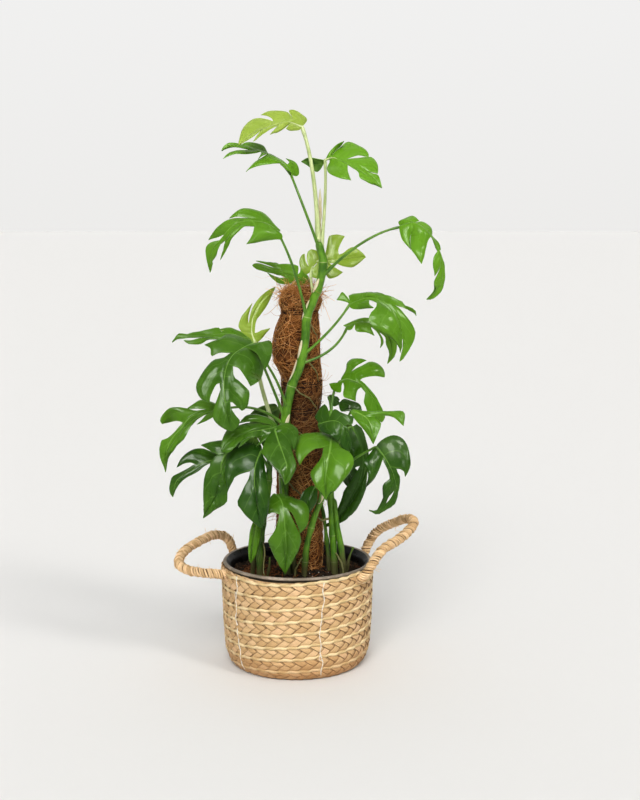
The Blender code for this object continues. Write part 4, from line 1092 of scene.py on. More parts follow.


# Each leaf as drawn on the photograph, 640 by 800. Its line is the midrib from the stalk to
# the tip: a spot is (x, y) and how far behind the middle of the plant it lies in mm, and bow
# is where the stalk bends. Its left and right sides run from the heart-shaped back to the
# leaf's tip: a third number there is the distance behind the midrib, and a spot without it
# lies in the plane of the blade. A fork closes a cut and names the share of the midrib where
# its vein starts. ups is which way the blade faces along the midrib, tone is its colour and
# light its painted light and shade, higher on leaves in the light and lower on shaded ones,
# green and 0.5 where they aren't given, and stout thickens the stalk.
leafPlan = {
    "top_lime": dict(
        stem="vine", height=572, bow=(313, 175, -40), tone="lime", light=0.35, arch=0.06, stout=1.5,
        ups=((0, -0.42, 0.9), (-0.2, -0.5, 0.8)),
        line=((302, 127, -31), (287, 122, -40), (268, 127, -47), (252, 134, -54), (238.5, 145, -60)),
        left=((299, 130, -6), (291, 131, -10), tip(286, 128.5, -10), (288, 126, -8),
            fork(0.16, 290, 124, -3), (280, 131, -12), (273, 133, -16), tip(270, 134, -20), (275, 129, -12),
            fork(0.42, 278, 125.5, -4), (268, 131, -14), (258, 138, -20), tip(253, 141, -22),
            (259, 134, -12), fork(0.66, 262, 130, -4), (255, 136, -4), (246, 141, -4)),
        right=((307, 120), (303, 115), tip(294, 110.5), (289, 111), fork(0.26, 293, 118.5), (287, 112),
            (280, 111), (268, 111.5), tip(261, 114.5), (268, 116.5), (272, 119), fork(0.52, 273, 121.5),
            (265, 119), (256, 118), (247, 123), (242, 134))),
    "top_left": dict(
        stem="vine", height=552, bow=(302, 203, -46), light=0.8, arch=0.03,
        ups=((0, -0.25, 1), (0, -0.25, 1)),
        line=((291, 175, -25), (284, 166, -25), (274, 157, -24), (262, 151, -22), (246, 147, -20),
            (231, 145, -18), (222, 151, -18)),
        left=((290, 172, -8), (284, 168, -12), tip(280, 165, -16), (281, 163, -10),
            fork(0.18, 283, 164, -3), (272, 164, -14), (258, 166, -18), (250, 169, -22), tip(246, 172, -24),
            (254, 163, -14), (262, 158, -8), fork(0.42, 268, 154, -3), (262, 156, -12), tip(258, 160, -16),
            (261, 154, -8), fork(0.5, 261, 151.5, -3), (250, 154, -12), (235, 154, -16),
            tip(223, 158.5, -18), (231, 152, -12), fork(0.72, 250, 149.5, -3), (240, 147.5, -3),
            (230, 147, -3)),
        right=((297, 176, 8), (299, 172, 12), (296, 163, 14), tip(286, 158.5, 12), (289, 162, 8),
            fork(0.2, 287, 165, 4), (281, 159, 10), (271, 153.5, 12), tip(266, 154, 8),
            fork(0.42, 268, 153.5, 3), (263, 146, 12), (252, 142.5, 14), (244, 143, 12), tip(240, 147, 8),
            fork(0.72, 246, 146, 3), (238, 143.5, 4), (228, 143, 3))),
    "top_right": dict(
        stem="vine", height=559, bow=(325, 200, -32), light=0.85, stalk="limeStalk", stout=1.15, arch=0.06,
        ups=((0.1, -0.75, 0.65), (0.3, -0.75, 0.5)),
        line=((325, 160, -35), (332, 157.5, -38), (342, 161, -44), (355, 168, -50), (368, 176, -56),
            (382, 188, -60)),
        left=((330, 152, 4), (337, 145, 6), tip(344, 141, 6), (340, 147), (332, 155),
            fork(0.16, 331, 156.5), (338, 150), (348, 142), (362, 147), (368, 153), tip(368.5, 157),
            (358, 155.5), fork(0.42, 346, 159.5), (358, 158), (371, 157), (377, 163), (378, 170),
            tip(377.5, 174), (370, 172), fork(0.66, 363, 168.5), (372, 173.5), (378, 175.5), (379, 182)),
        right=((324, 163, 10), (320, 170, 12), (316, 172, 14), (308, 166, 14), tip(301, 161.5, 14),
            (308, 158, 12), (318, 159, 8), fork(0.02, 324, 160, 2), (330, 160, -1), (327, 168, -4),
            (330, 174), (340, 178), tip(351, 180), (348, 172), fork(0.4, 347.5, 165), (358, 172),
            (360, 178), (370, 182), (378, 185))),
    "upper_left": dict(
        stem="vine", height=472, bow=(294, 270, -54), light=0.6,
        ups=((-0.2, -0.45, 0.9), (-0.7, -0.45, 0.3)),
        line=((277, 231, -55), (268, 224, -57), (255, 221, -59), (240, 222, -62), (229, 229, -64),
            (220, 240, -64), (212, 250, -62), (209.6, 272, -60)),
        left=((281.5, 234, -3), (282, 239, -5), (276, 239, -8), (264, 240.7, -12), tip(246.5, 244, -18),
            (252.5, 234, -12), fork(0.28, 254.3, 226.8, -5), (246, 226, -6), (238, 232, -8),
            (231.5, 239, -8), (229, 245, -8), (226, 250, -8), tip(220.5, 260, -8), (225.4, 246, -6),
            fork(0.64, 224.5, 240.5, -2), (221.3, 242.5, -3), (219, 249, -4), (216, 257, -3),
            (211.6, 259.4, -2)),
        right=((281, 231, 4), (276, 226, 8), (269, 218, 14), (262, 213, 17), (250, 209, 18),
            (240, 209.5, 16), tip(229, 218.5, 12), (238, 217, 8), fork(0.3, 253, 219.5, 3), (240, 218.5, 7),
            (228, 220, 9), (216, 229, 8), tip(208.7, 240.5, 6), (219.5, 236.3, 4),
            fork(0.6, 228.3, 231.5, 1), (222, 239, 3), (213, 242, 4), (207, 247, 3), (206.3, 255, 2),
            (207, 263, 1))),
    "upper_right": dict(
        stem="vine", height=526, bow=(362, 243, -48), light=0.75,
        ups=((-0.1, -0.45, 0.9), (0.5, -0.4, 0.6), (1, -0.25, 0.1)),
        line=((400.5, 227, -50), (410, 222.5, -54), (420, 225, -57), (429, 233, -59), (436, 243, -60),
            (441, 255, -61), (443, 270, -62), (440, 286, -62), (426.5, 299.4, -62)),
        left=((398.3, 221.5, 4), (404.5, 218, 9), (413, 216, 12), tip(419, 221.3, 10), (417, 222, 6),
            fork(0.18, 415, 223.3, 2), (421, 222, 8), (426.5, 224.3, 10), (431, 228.8, 10),
            tip(431.8, 236.4, 6), (430, 234.3, 3), fork(0.34, 429, 232.8, 1), (433.8, 237.8, 5),
            (439.8, 244, 5), tip(441, 250, 3), (439.8, 249.8, 2), fork(0.5, 439.3, 249, 1), (443, 257.3, 3),
            (445, 267.6, 4), (444.7, 279.7, 4), (442.9, 288.2, 3), (438.6, 293.8, 2), (432.6, 298, 1)),
        right=((399, 226, -4), (400, 233, -8), (402.5, 240, -12), tip(410.5, 249, -18), (409.8, 238, -10),
            fork(0.12, 412.5, 227.5, -3), (410.6, 237, -10), (411, 248, -16), (415.5, 255, -20),
            tip(421.5, 264, -22), (425, 253, -18), (427.5, 242, -10), fork(0.36, 430.5, 236.5, -2),
            (435, 243.5, -2), (438.5, 249, -3), (433.6, 259, -8), tip(435, 276, -10), (438.5, 271, -6),
            fork(0.66, 441.3, 267.5, -3), (437, 276, -5), (434.3, 283.5, -6), (436.3, 289.5, -5),
            (431, 296, -2))),
    "young_lime": dict(
        stem="vine", height=500, bow=(311, 272, -16), tone="lime", light=0.15, arch=0.03,
        ups=((0, -0.95, 0.3), (0.1, -0.9, 0.3)),
        line=((319, 260.5, -10), (327, 260.4, -9), (338, 259.3, -8), (352, 257, -2), (365.6, 257.3, 5)),
        left=((314, 265.5), (309.5, 272.5), (305.7, 274), (301, 269), (299.2, 262), (301.5, 255.5),
            tip(304.6, 253.7), (305.5, 261), fork(0.04, 308.6, 267), (306.8, 259), (307.7, 252.3),
            tip(311, 249.3), (316, 250.5), (321, 254), fork(0.14, 322.5, 257.5), (325.5, 253), (327, 245),
            (328.7, 237), (331, 235.6), (337, 234.7), tip(344.7, 236.2), (341.6, 241.5), (338.2, 249.5),
            fork(0.36, 339, 254.7), (343, 253.2), (348, 249.3), (353.1, 247.1), (358, 249.6),
            (362.5, 254.3)),
        right=((316.5, 264), (312, 270), tip(309.6, 276), (314, 277.8), (318, 278.3), (320, 272),
            fork(0.08, 320.5, 265), (324, 270), (328.7, 278.2), (336.4, 276.8), tip(342.8, 272.3),
            (338, 269.4), (333, 266.4), fork(0.26, 329.5, 263.2), (336, 263.5), (341.6, 265.8),
            (350.7, 267.5), (355.3, 265.6), (359.3, 262), (363, 257.6))),
    "above_pole": dict(
        stem="vine", height=500, bow=(311, 283, 2), light=1,
        ups=((0, -0.4, 0.93), (0, -0.4, 0.93)),
        line=((307, 281, 22), (296, 277.3, 23), (284, 273.5, 21), (270, 269, 16), (252.5, 265, 10)),
        left=((311, 282, -3), (306, 285, -6), (298, 285.5, -9), tip(291, 284.3, -9), (296, 281, -4),
            fork(0.24, 297, 279, -2), (290, 283.7, -9), (280, 284, -12), (273, 279.5, -10),
            tip(267.3, 272.7, -8), (272, 275, -5), (279, 278, -4), fork(0.42, 286, 278, -3),
            (278, 274.6, -3), (268, 272.3, -3), (258, 269.5, -2), (254, 267, -1)),
        right=((309, 278, 6), (305, 272, 10), tip(300.5, 268.3, 12), (300, 272, 6), fork(0.18, 298, 274, 3),
            (297.5, 266, 12), (288, 265.3, 12), (282.5, 266.1, 12), (278, 263, 14), (270, 263.3, 14),
            tip(256, 260.8, 12), (262, 263.6, 8), (271, 266.3, 6), fork(0.5, 279.3, 269, 3), (270, 267, 4),
            (260, 263.8, 3), (255, 263.4, 2))),
    "right_upper": dict(
        stem="vine", height=424, bow=(330, 330, -46), light=0.55,
        ups=((0, -0.5, 0.85), (0.2, -0.8, 0.5), (0.3, -0.95, 0.1)),
        line=((349.5, 304.5, -45), (358, 300.5, -50), (368, 298, -54), (379, 300, -60), (390, 307, -66),
            (399, 322, -71), (404, 340, -74), (399.7, 361.3, -75)),
        left=((346.5, 301.8, 2), tip(336.7, 300.4, 4), (340, 296, 6), (342.7, 292.6, 8), (346.3, 296, 6),
            fork(0.05, 349.3, 300, 3), (349, 295.3, 8), (356, 293, 12), (364.7, 293.8, 12),
            (371, 292.6, 12), (380, 292.6, 12), (388.8, 296.6, 10), (396.8, 302.9, 8), (407.7, 305.8, 6),
            (414.9, 309.8, 4), tip(416.2, 315.6, 2), (413.3, 312), (405, 308.3), (398, 306.2),
            fork(0.42, 391.5, 304.5, 1), (397.5, 307), (404.3, 314.5), (411.3, 323.3), (415.3, 332),
            (413.6, 339.6), (408.8, 348.4), (404, 356)),
        right=((350, 307.2, -4), (354.3, 308.5, -7), (366.3, 308.9, -9), tip(374, 308, -8), (369.6, 304.5),
            fork(0.2, 369.6, 300.2, -1), (376.8, 303), (375.5, 308), (371, 312), (368.2, 319.5),
            (372.6, 325.2), (377.4, 330.1), (383.8, 333.2), (391.8, 338.8), (398, 343.6), tip(400.3, 352.4),
            (402, 347), (402, 341), fork(0.72, 403, 338.5), (402.9, 349), (401.5, 356))),
    "right_behind": dict(
        stem="vine", height=414, bow=(330, 350, -34), light=0.95,
        ups=((0, -0.4, 0.9), (0.4, -0.8, 0.4)),
        line=((347, 327.5, -10), (356, 323.3, -8), (366, 322.5, -6), (376, 327.5, -4), (388, 337, -2),
            (391, 350, 0), (387.4, 363.8, 0)),
        left=((344, 325.5, 2), (341.9, 326.2, 2), (347.9, 323.7, 6), (354.3, 320.4, 8), (360, 319.2, 8),
            (368, 319.6, 8), (376, 324), (387, 331), (395.7, 340), (396.6, 349), (394.2, 356.7)),
        right=((345, 329, -3), (349, 330, -5), tip(352, 329, -6), (354, 326.3, -3),
            fork(0.1, 355.3, 324.8, -1), (356, 331, -6), (366, 332.2, -8), tip(374.3, 335.6, -8),
            (371.5, 328.5, -4), fork(0.34, 371.8, 326.8, -1), (378, 333), (381, 341), tip(380.2, 348),
            (383.4, 342.5), (380.5, 334), fork(0.5, 379.5, 331.5), (385.2, 337), (386.1, 344.2),
            (389.8, 354))),
    "left_pale": dict(
        stem="vine", height=296, bow=(263, 392, -16), tone="lime", light=0.2, stout=1.6,
        ups=((0.3, -0.8, 0.5), (0.3, -0.95, 0.1), (0.4, -0.9, 0.1)),
        line=((255, 342.5, -12), (252, 334, -10), (252, 324, -7), (255, 311, -2), (263.5, 298, 5),
            (275.3, 287.3, 12)),
        left=((247, 341.5), (238, 337), (231, 333), tip(220.8, 330.6), (228, 329.5), (236, 330.3),
            fork(0.15, 241.5, 331.8), (238.6, 326), (241.5, 317), (246.5, 310.5), tip(252.5, 303),
            (249.8, 310), (248, 318), fork(0.3, 248.8, 323.5), (250.5, 314), (254.5, 304.5), (262, 295.5),
            (270, 289.5)),
        right=((258, 342), (262, 338), (266, 333), tip(270.3, 328.2), (262, 330.3), (257.5, 332.5),
            fork(0.15, 254.6, 333), (254.8, 327), (256.5, 320), (260.5, 314.5), (266.5, 306), (271, 297))),
    "left_level": dict(
        stem="vine", height=338, bow=(266, 372, -38), light=0.45,
        ups=((0, -0.25, 1), (0, -0.25, 1)),
        line=((252, 342.5, -32), (240, 336.5, -30), (228, 333.5, -29), (215, 334.5, -29), (200, 336, -29),
            (185, 335.5, -30), (177, 336, -30), (172.4, 342.5, -30)),
        left=((250, 346, -4), (243, 345, -9), tip(233, 341.5, -12), (238, 339.8, -6),
            fork(0.26, 234, 337, -2), (225, 339.5, -5), (217, 339, -6), (209, 339, -6), (205.6, 340.5, -8),
            (201.5, 343.2, -10), (195.7, 344.6, -12), (188, 343.6, -12), tip(183.6, 340, -10),
            (190, 340.4, -8), (200, 339, -5), fork(0.66, 206, 337.4, -2), (196, 337.8, -2),
            (185, 337.8, -2), (179, 337.7, -1)),
        right=((250, 339, 6), (243, 333, 10), (236, 329.3, 12), (229, 328.2, 12), tip(220, 329.8, 10),
            (223.5, 333.3, 5), fork(0.34, 226.5, 335, 2), (221.5, 332, 6), (218, 328, 8), (206.4, 331.3, 7),
            (193, 334.3, 5), (180, 333.6, 4), (175.5, 336.8, 1))),
    "left_great": dict(
        stem="vine", height=352, bow=(275, 378, -60), light=0.3, arch=0.045,
        ups=((-0.2, -0.7, 0.7), (0, -1, 0.1)),
        line=((252, 344, -75), (243, 348, -84), (233, 355, -95), (226.5, 367, -104), (224, 382, -112),
            (224.5, 399, -119), (227, 414, -125), (231, 431, -130)),
        left=((256, 343), (262, 342.3), (270.8, 342), (271.9, 352.9), (269, 361.7), tip(264.5, 370.5),
            (261, 361), (256, 353), fork(0.1, 248, 348.3), (256, 352.5, -4), (260.5, 358, -5),
            (263.2, 364, -6), (262.3, 375, -8), (258.1, 381.9, -8), tip(250.6, 386.4, -6), (244.9, 376.4),
            (239, 368.5), fork(0.36, 233, 366.3), (233.9, 376.4), (239, 381), (245.6, 387.5), (249.5, 392),
            (249, 399), (247.1, 407.3), tip(242, 410.9), (236.8, 406.4), (233, 402.7),
            fork(0.74, 230.3, 402.5), (231.7, 409.4), (236.1, 416), (240, 421.3), (236, 428.5)),
        right=((251, 341), (246, 339.3), (236, 335), (226, 334), (218.5, 340.2), tip(204.5, 345.3),
            (210.5, 349), (211.5, 355.8), (219, 353), fork(0.2, 231, 352.8), (224, 357.8), (213.3, 360.4),
            (204.5, 370.5), (198.7, 379.3), (196.2, 386), (197.7, 394), (202.3, 400), tip(209.7, 402.4),
            (210.2, 397.5), (212.6, 391), (216, 384.8), fork(0.56, 219.5, 383), (220.9, 387.6),
            (218.5, 395.4), (214.8, 405.7), (212.3, 414), (213.5, 419), (218, 424.5), (226, 429.6))),
    "right_pale": dict(
        stem="right", height=340, bow=(334, 392, -14), tone="pale", light=0.4,
        ups=((0, -0.6, 0.7), (0.3, -0.85, 0.3)),
        line=((341, 381, -14), (347, 379.3, -15), (354, 381, -16), (362, 385, -17), (370, 394, -18),
            (377, 405, -18), (382, 422, -18)),
        left=((341.5, 378), (346, 370), (347.3, 363), (351.9, 359), (360, 358.7), tip(366.5, 360.6),
            (358.8, 364.4), (354.2, 367.9), fork(0.14, 351, 371.8), (356, 368.6), (363.8, 364.8),
            (370.8, 361.9), (377.5, 363.6), (382.6, 368.2), (384.6, 373.2), tip(384.6, 377.4), (377, 376),
            (369.2, 376.6), (363, 378), fork(0.36, 359.8, 380.2), (364.2, 383), (369.6, 389.4), (376, 397),
            (380.3, 405.7), (383.1, 411.3), (384.9, 416.8)),
        right=((339, 382.5), (334, 383), tip(329.3, 384), (332.9, 390.2), (340.5, 392.6), (341.5, 386),
            fork(0.06, 343, 382.3), (344.3, 387), (343.2, 393), (344, 397), (350.2, 399.1),
            tip(355.6, 401.2), (355.8, 396), (357.5, 390), fork(0.42, 361.2, 387.2), (365.3, 391),
            (363.8, 402), (366.5, 408), (367.6, 412.6), (372, 413.7), (378.5, 420.7))),
    "left_outer": dict(
        stem="vine", height=330, bow=(256, 409, -46), light=0.52,
        ups=((-0.1, -0.5, 0.85), (-0.4, -0.75, 0.5), (-0.5, -0.85, 0.1)),
        line=((222, 409.5, -62), (208, 411.5, -66), (197, 413.5, -70), (188, 418.5, -73), (181, 428, -76),
            (172, 438, -78), (166, 452, -80), (165, 471.5, -80)),
        left=((222, 412, -4), (216, 416, -8), (211.4, 418.3, -10), (205, 421.5, -12), tip(197, 424.9, -12),
            (204, 417.5, -6), fork(0.26, 207.4, 414, -2), (198.5, 416.8, -4), (193.9, 421.5, -6),
            (188.8, 430.3), (184.5, 438.3), (174.4, 445.6), (170.2, 452.7), (166.7, 461)),
        right=((221, 405, 6), (215.4, 403.8, 9), (209.8, 401.6, 11), (201, 399.6, 12), (194.7, 402.6, 10),
            tip(187, 408.3, 7), (195, 408.7, 4), fork(0.2, 207.6, 409.6, 1), (196, 410.7, 3),
            (188.3, 408.4, 6), (178, 407, 8), (169, 408.6, 7), (163.4, 413.8, 4), (160, 419.8, 1),
            tip(162, 424, 0), (169.9, 422), (177, 420.7), fork(0.46, 182.3, 422.4, 0), (179.3, 426.3),
            (173.7, 432.6), (167.8, 438.2), (161.6, 440.5), (160.9, 444), (162.2, 455.6), (164, 466))),
    "left_lower": dict(
        stem="left", height=262, bow=(246, 459, -56), light=0.2,
        ups=((-0.1, -0.5, 0.85), (-0.5, -0.8, 0.3)),
        line=((222, 460, -62), (212, 460.5, -65), (203, 463, -68), (193, 469, -70), (183, 475, -72),
            (176, 482, -74), (172.7, 497, -74)),
        left=((222, 464, -4), (215, 467, -6), tip(209.5, 467.3, -6), (210, 464.8, -4),
            fork(0.22, 210, 463, -2), (204.4, 465.7, -4), (199.6, 470, -5), (192.3, 474.4), (183.7, 479.2),
            (176.7, 487.2), (173.8, 493)),
        right=((222, 455, 5), (212.2, 452.2, 9), (205.8, 449.6, 11), (198.6, 448.8, 11), (189.9, 451.2, 9),
            (181.7, 458, 6), tip(176.5, 467.5, 2), (183.5, 463.8, 3), (190, 462.6, 2),
            fork(0.36, 194.8, 464, 1), (188.3, 468.3, 2), (180.3, 472.2), (172.8, 476.1), (170.7, 482),
            (170.4, 490.7))),
    "front_left": dict(
        stem="left", height=285, bow=(268, 455, -68), light=0.12,
        ups=((0, -0.85, 0.5), (0, -1, 0.1)),
        line=((261, 451, -92), (256.5, 461, -102), (254.5, 472, -108), (255, 490, -115), (258, 510, -120),
            (261.5, 527.8, -122)),
        left=((262.5, 451), (263.2, 456), (264.5, 464), (265.4, 473.7), (267.6, 485.7), (269.2, 497.6),
            (268.4, 511.2), (264.5, 522)),
        right=((258, 446.5), (250, 443.5), (238, 446.5), (229.5, 452), (226, 462), (225.5, 476),
            tip(228, 488.5), (233.3, 479), (238, 475.3), (243, 473.3), fork(0.24, 250.3, 471.3), (249, 478),
            (244.7, 486), (240.6, 495), (237.7, 501), (238.2, 505.4), (244, 511.4), (250.5, 518.6),
            (257, 524.5))),
    "front_left_low": dict(
        stem="left", height=272, bow=(258, 452, -62), light=0.2,
        ups=((-0.1, -0.7, 0.7), (-0.1, -1, 0.2)),
        line=((242, 444, -84), (230, 449, -90), (222, 461, -96), (220.5, 480, -101), (214, 500, -104),
            (203, 518, -104)),
        left=((244, 447), (241, 457), (238, 468), (233.9, 479), (229.2, 487.8), (227.2, 494),
            (226.8, 502.2), (216.4, 508.8), (208, 514.5)),
        right=((240, 441), (233, 440), (221, 440.6), (210.6, 441.8), tip(201, 445.3), (206, 448),
            (211.5, 451.7), fork(0.2, 218, 455), (213, 459), (211.5, 465), (206.6, 471.8), (204.8, 490.7),
            (206.3, 506.6), (206.5, 512.5))),
    "middle_left": dict(
        stem="vine", height=312, bow=(283, 436, -64), light=0.32,
        ups=((0, -0.5, 0.85), (-0.3, -0.8, 0.5)),
        line=((277, 427, -80), (266, 429, -88), (252, 431.5, -98), (238, 436.5, -106), (228, 443.5, -112),
            (221.5, 452.5, -116)),
        left=((276, 431, -3), (271, 437, -4), (263, 442.5, -6), tip(256, 447, -6), (261, 440, -4),
            fork(0.28, 261.5, 436.5, -2), (254, 436.7, -3), (249, 439.3), (243, 444.5), tip(238.5, 447.3),
            (240.5, 442.5), fork(0.58, 241, 440.3), (234, 448), (228, 453)),
        right=((276, 423, 5), (269.6, 418.4, 9), (260.9, 415.6, 12), (253.7, 414.8, 12), (245.7, 416.4, 10),
            tip(239, 423.4, 7), (247, 422.3, 5), (256, 421.9, 4), fork(0.14, 271.8, 424.8, 1),
            (264, 424.9, 2), (251.3, 423.2), (239.5, 425.4), (229, 428), (223.5, 438))),
    "middle": dict(
        stem="vine", height=284, bow=(285, 440, -72), light=0.22,
        ups=((0, -0.6, 0.8), (0, -1, 0.2)),
        line=((275, 429, -86), (279, 442, -100), (284, 456, -112), (287, 468, -120), (285, 484.5, -126)),
        left=((277, 426), (281, 424.3), (288, 423), (294.7, 426.5), (298.5, 433.9), tip(294, 451),
            (290.5, 444.5), (286, 437.5), fork(0.08, 280.5, 432.3), (284.3, 435.5), (289.3, 442),
            (293.2, 454.6), (296.3, 465.8), (292.2, 476.5), (288, 481.8)),
        right=((271.5, 431.5), (268, 436.5), (264.3, 443), (262.2, 450), (261.8, 455), (268, 453.4),
            (274.4, 457.8), (279.2, 465.8), (282.4, 476))),
    "front_right": dict(
        stem="centre", height=270, bow=(334, 452, -56), arch=0.06,
        ups=((0, -0.7, 0.7), (0, -1, 0.1)),
        line=((331, 437, -74), (329.5, 450, -94), (327, 465, -106), (325, 482, -114), (326.3, 500.5, -118)),
        left=((334.5, 437), (337.5, 442), (341.5, 448.2), (347.2, 450.8), (352.2, 456.3), (353.8, 463.3),
            (350.2, 471.4), (341.6, 480), (334.5, 486), (329.6, 491.5)),
        right=((328, 434), (318, 433), (305, 433.6), (298, 436.5), (295.5, 444), (296, 455),
            tip(299.8, 465), (305.3, 456.7), (314, 449.8), fork(0.17, 323.3, 447.5), (321.6, 457.1),
            (315.5, 465.7), (310.5, 472.8), (312.7, 480.5), (319, 487.6), (323, 493))),
    "right_dark_back": dict(
        stem="right", height=330, bow=(331, 410, 2), tone="deep", light=0.85,
        ups=((0, -0.3, 0.9), (0, -0.3, 0.9)),
        line=((328.5, 397, 18), (334, 400.5, 22), (339.5, 403.3, 24), (349, 404.5, 26), (361.5, 411.8, 28)),
        left=((330, 394.8, 4), (336.7, 396.6, 6), tip(339.6, 399.6, 6), (338.7, 401.3, 3),
            fork(0.35, 339.4, 402.3, 1), (344.3, 399, 6), (352.9, 401.5, 7), (360, 404.8, 4)),
        right=((328.4, 400, -3), (331, 404.7, -6), tip(334.5, 406.5, -6), (337, 405.8, -4),
            fork(0.32, 338.5, 404.8, -1), (340, 410, -5), (342.3, 412, -6), (345, 408.6, -5),
            (350, 407.8, -5), (357, 411.5, -2))),
    "right_bright": dict(
        stem="right", height=300, bow=(322, 434, -54), light=0.15,
        ups=((0, -0.75, 0.65), (0.2, -0.9, 0.4)),
        line=((319, 424, -66), (327, 421.5, -72), (336, 421, -78), (343.5, 426, -82), (347, 438, -84),
            (349.5, 452, -86)),
        left=((317.5, 421), (315.3, 416.6), (320.7, 407.7), tip(325, 404.5), (328, 408.5), (329.3, 414),
            fork(0.22, 330, 417), (334.5, 409.5), (341.4, 412.7), (348.3, 415.3), tip(353.8, 416.6),
            (352, 424.5), (348, 424.6), fork(0.46, 345.5, 425.3), (348, 432), (350.8, 442)),
        right=((319.5, 427), (321.5, 431.6), (330, 435.1), tip(338, 441.3), (341, 436), (341.8, 430),
            fork(0.5, 342.3, 427.3), (340.3, 437), (341, 445.5), (345, 451))),
    "right_folded": dict(
        stem="right", height=318, bow=(345, 420, -44), tone="pale", light=0.38,
        ups=((0, -0.6, 0.8), (0.1, -0.9, 0.3)),
        line=((351, 411, -58), (360, 414, -66), (368, 420, -74), (372, 431, -80), (373.2, 444, -84)),
        left=((353, 409.3), (364.9, 411.6), (382.3, 412), (403.2, 411.6), tip(403.6, 426.2), (394, 417.8),
            (385.2, 415.7), fork(0.4, 374.5, 416.3), (381, 424), (376.2, 429.2), (375.3, 436)),
        right=((350.5, 413), (352.4, 416), (356.4, 421.2), (364.7, 430.4), (369, 436.5))),
    "right_outer": dict(
        stem="right", height=262, bow=(356, 458, -46), light=0.12,
        ups=((0.1, -0.8, 0.6), (0.2, -0.95, 0.2)),
        line=((376, 447, -60), (384, 457, -63), (390, 467, -66), (394, 477, -68), (396, 490, -69),
            (390, 503, -68), (377, 512.5, -67), (369, 510, -66)),
        left=((377.5, 444), (383.9, 438.6), (393.1, 435.2), (401.8, 437.8), (406.7, 443.9), (409.2, 453.1),
            (410.5, 463.8), (408.4, 470.9), tip(405, 477), (403.8, 471.7), (400, 469.2),
            fork(0.28, 396.4, 469), (397.7, 473), (400.2, 478), (398.4, 484.8), (397.5, 495.6),
            (394.2, 502.3), (385, 510), (377.3, 514.3)),
        right=((374, 448.5), (369.6, 453.9), (363.6, 462.2), (367, 469.7), (368.2, 477.1),
            tip(365.6, 487.6), (373.2, 480), (378.4, 470.7), fork(0.14, 382.6, 459.3), (386, 466.5),
            (390.8, 476.5), (383.6, 484), (382.7, 491), (383, 498), tip(376.8, 511), (384, 507.2),
            (387.4, 498.2), fork(0.56, 394.5, 490.2), (391, 498.7), (385, 505.8), (377.4, 511.2))),
    "right_dark": dict(
        stem="right", height=278, bow=(342, 436, -14), tone="deep",
        ups=((0.1, -0.8, 0.5), (-0.1, -1, 0)),
        line=((352, 427, -8), (358, 439, -12), (362, 452, -16), (362.5, 468, -18), (357, 487, -18),
            (347, 507, -17), (343.5, 514, -16), (336, 521, -16), (324, 526, -16)),
        left=((356, 424), (363, 430), (366, 445), (365.3, 458), (364.5, 470), (362.2, 485), (359, 497.2),
            (352, 508.6), (346.5, 512.7), (337, 521.8)),
        right=((350, 429), (347, 438), (347.5, 450), (351, 462), tip(349.5, 472), (356, 467),
            fork(0.34, 359.8, 466), (353.3, 478), (344, 491), (342.7, 500), (343, 512), (335.5, 520.2))),
    "low_front": dict(
        stem="left", height=196, bow=(268, 508, -58), light=0.35,
        ups=((0, -0.8, 0.6), (0, -1, 0)),
        line=((277, 495, -74), (282, 503, -84), (284, 515, -92), (285, 530, -96), (286, 550, -92),
            (284.9, 574, -84)),
        left=((281, 493.5), (288, 496), (296, 499), (304, 501.8), (308.6, 508.3), (308.6, 519),
            (306, 526.8), tip(299.8, 533.3), (297.3, 525), (293, 515), fork(0.2, 286.8, 507.8),
            (291.7, 517), (296.2, 526.7), (299.7, 534), (301.2, 541.2), (298.5, 546.9), (293.2, 552.2),
            (288.3, 559.9), (286, 568)),
        right=((274, 493.5), (270, 498), (267.5, 506), tip(268.5, 514.5), (272.5, 512.7),
            fork(0.22, 279.3, 514.5), (277.6, 522.5), (274.5, 531.2), (269.7, 538), (268, 541.5),
            (271.5, 547.7), (276.8, 553), (282.2, 559.2), (283.7, 568))),
    "low_narrow": dict(
        stem="left", height=176, bow=(256, 522, -54),
        ups=((0.5, -0.7, 0.6), (0.6, -0.8, 0.1)),
        line=((258, 516, -60), (255.5, 530, -66), (253, 545, -67), (250.5, 563, -64)),
        left=((260.5, 520), (261.8, 532), (258.7, 548), (254, 558)),
        right=((256, 517), (251, 527), (249, 542))),
    "low_middle": dict(
        stem="centre", height=226, bow=(320, 489, -58), tone="deep", light=0.4,
        ups=((0.3, -0.7, 0.6), (0.4, -0.8, 0.1)),
        line=((315, 487, -64), (309, 498, -70), (304, 515, -72)),
        left=((317.5, 491), (316.5, 502), (310, 512)),
        right=((311, 486), (303, 492), (299, 504))),
    "low_right": dict(
        stem="right", height=232, bow=(336, 478, -12), tone="deep", light=0.4,
        ups=((0, -0.6, 0.7), (0.3, -0.8, 0.3)),
        line=((340, 468, -8), (350, 474, 2), (358, 492, 4)),
        left=((345, 464), (355, 468), (362, 480)),
        right=((339, 472), (344, 483), (352, 490))),
    "back_right": dict(
        stem="back", height=300, bow=(312, 425, 58), light=0.2,
        ups=((0.1, 0.7, 0.7), (0.2, 1, 0.1)),
        line=((320, 420, 66), (329, 427, 82), (335, 440, 94), (338, 460, 103), (338, 482, 108)),
        left=((318, 423), (311, 432), (307, 445), tip(309, 458), (316, 449), fork(0.34, 326, 438),
            (318, 450), (314, 462), tip(317, 475), (325, 465), fork(0.64, 332, 458), (326, 468),
            (330, 478)),
        right=((322, 416), (332, 412), (345, 417), (353, 427), tip(356, 440), (348, 436),
            fork(0.3, 338, 434), (348, 441), (356, 450), (357, 462), tip(352, 473), (347, 463),
            fork(0.62, 341.5, 456), (348, 466), (346, 477))),
    "back_left": dict(
        stem="back", height=320, bow=(285, 408, 56), light=0.3,
        ups=((-0.1, 0.6, 0.8), (-0.4, 0.9, 0.2)),
        line=((278, 408, 60), (270, 413, 68), (262, 423, 78), (254, 439, 88), (246, 462, 96)),
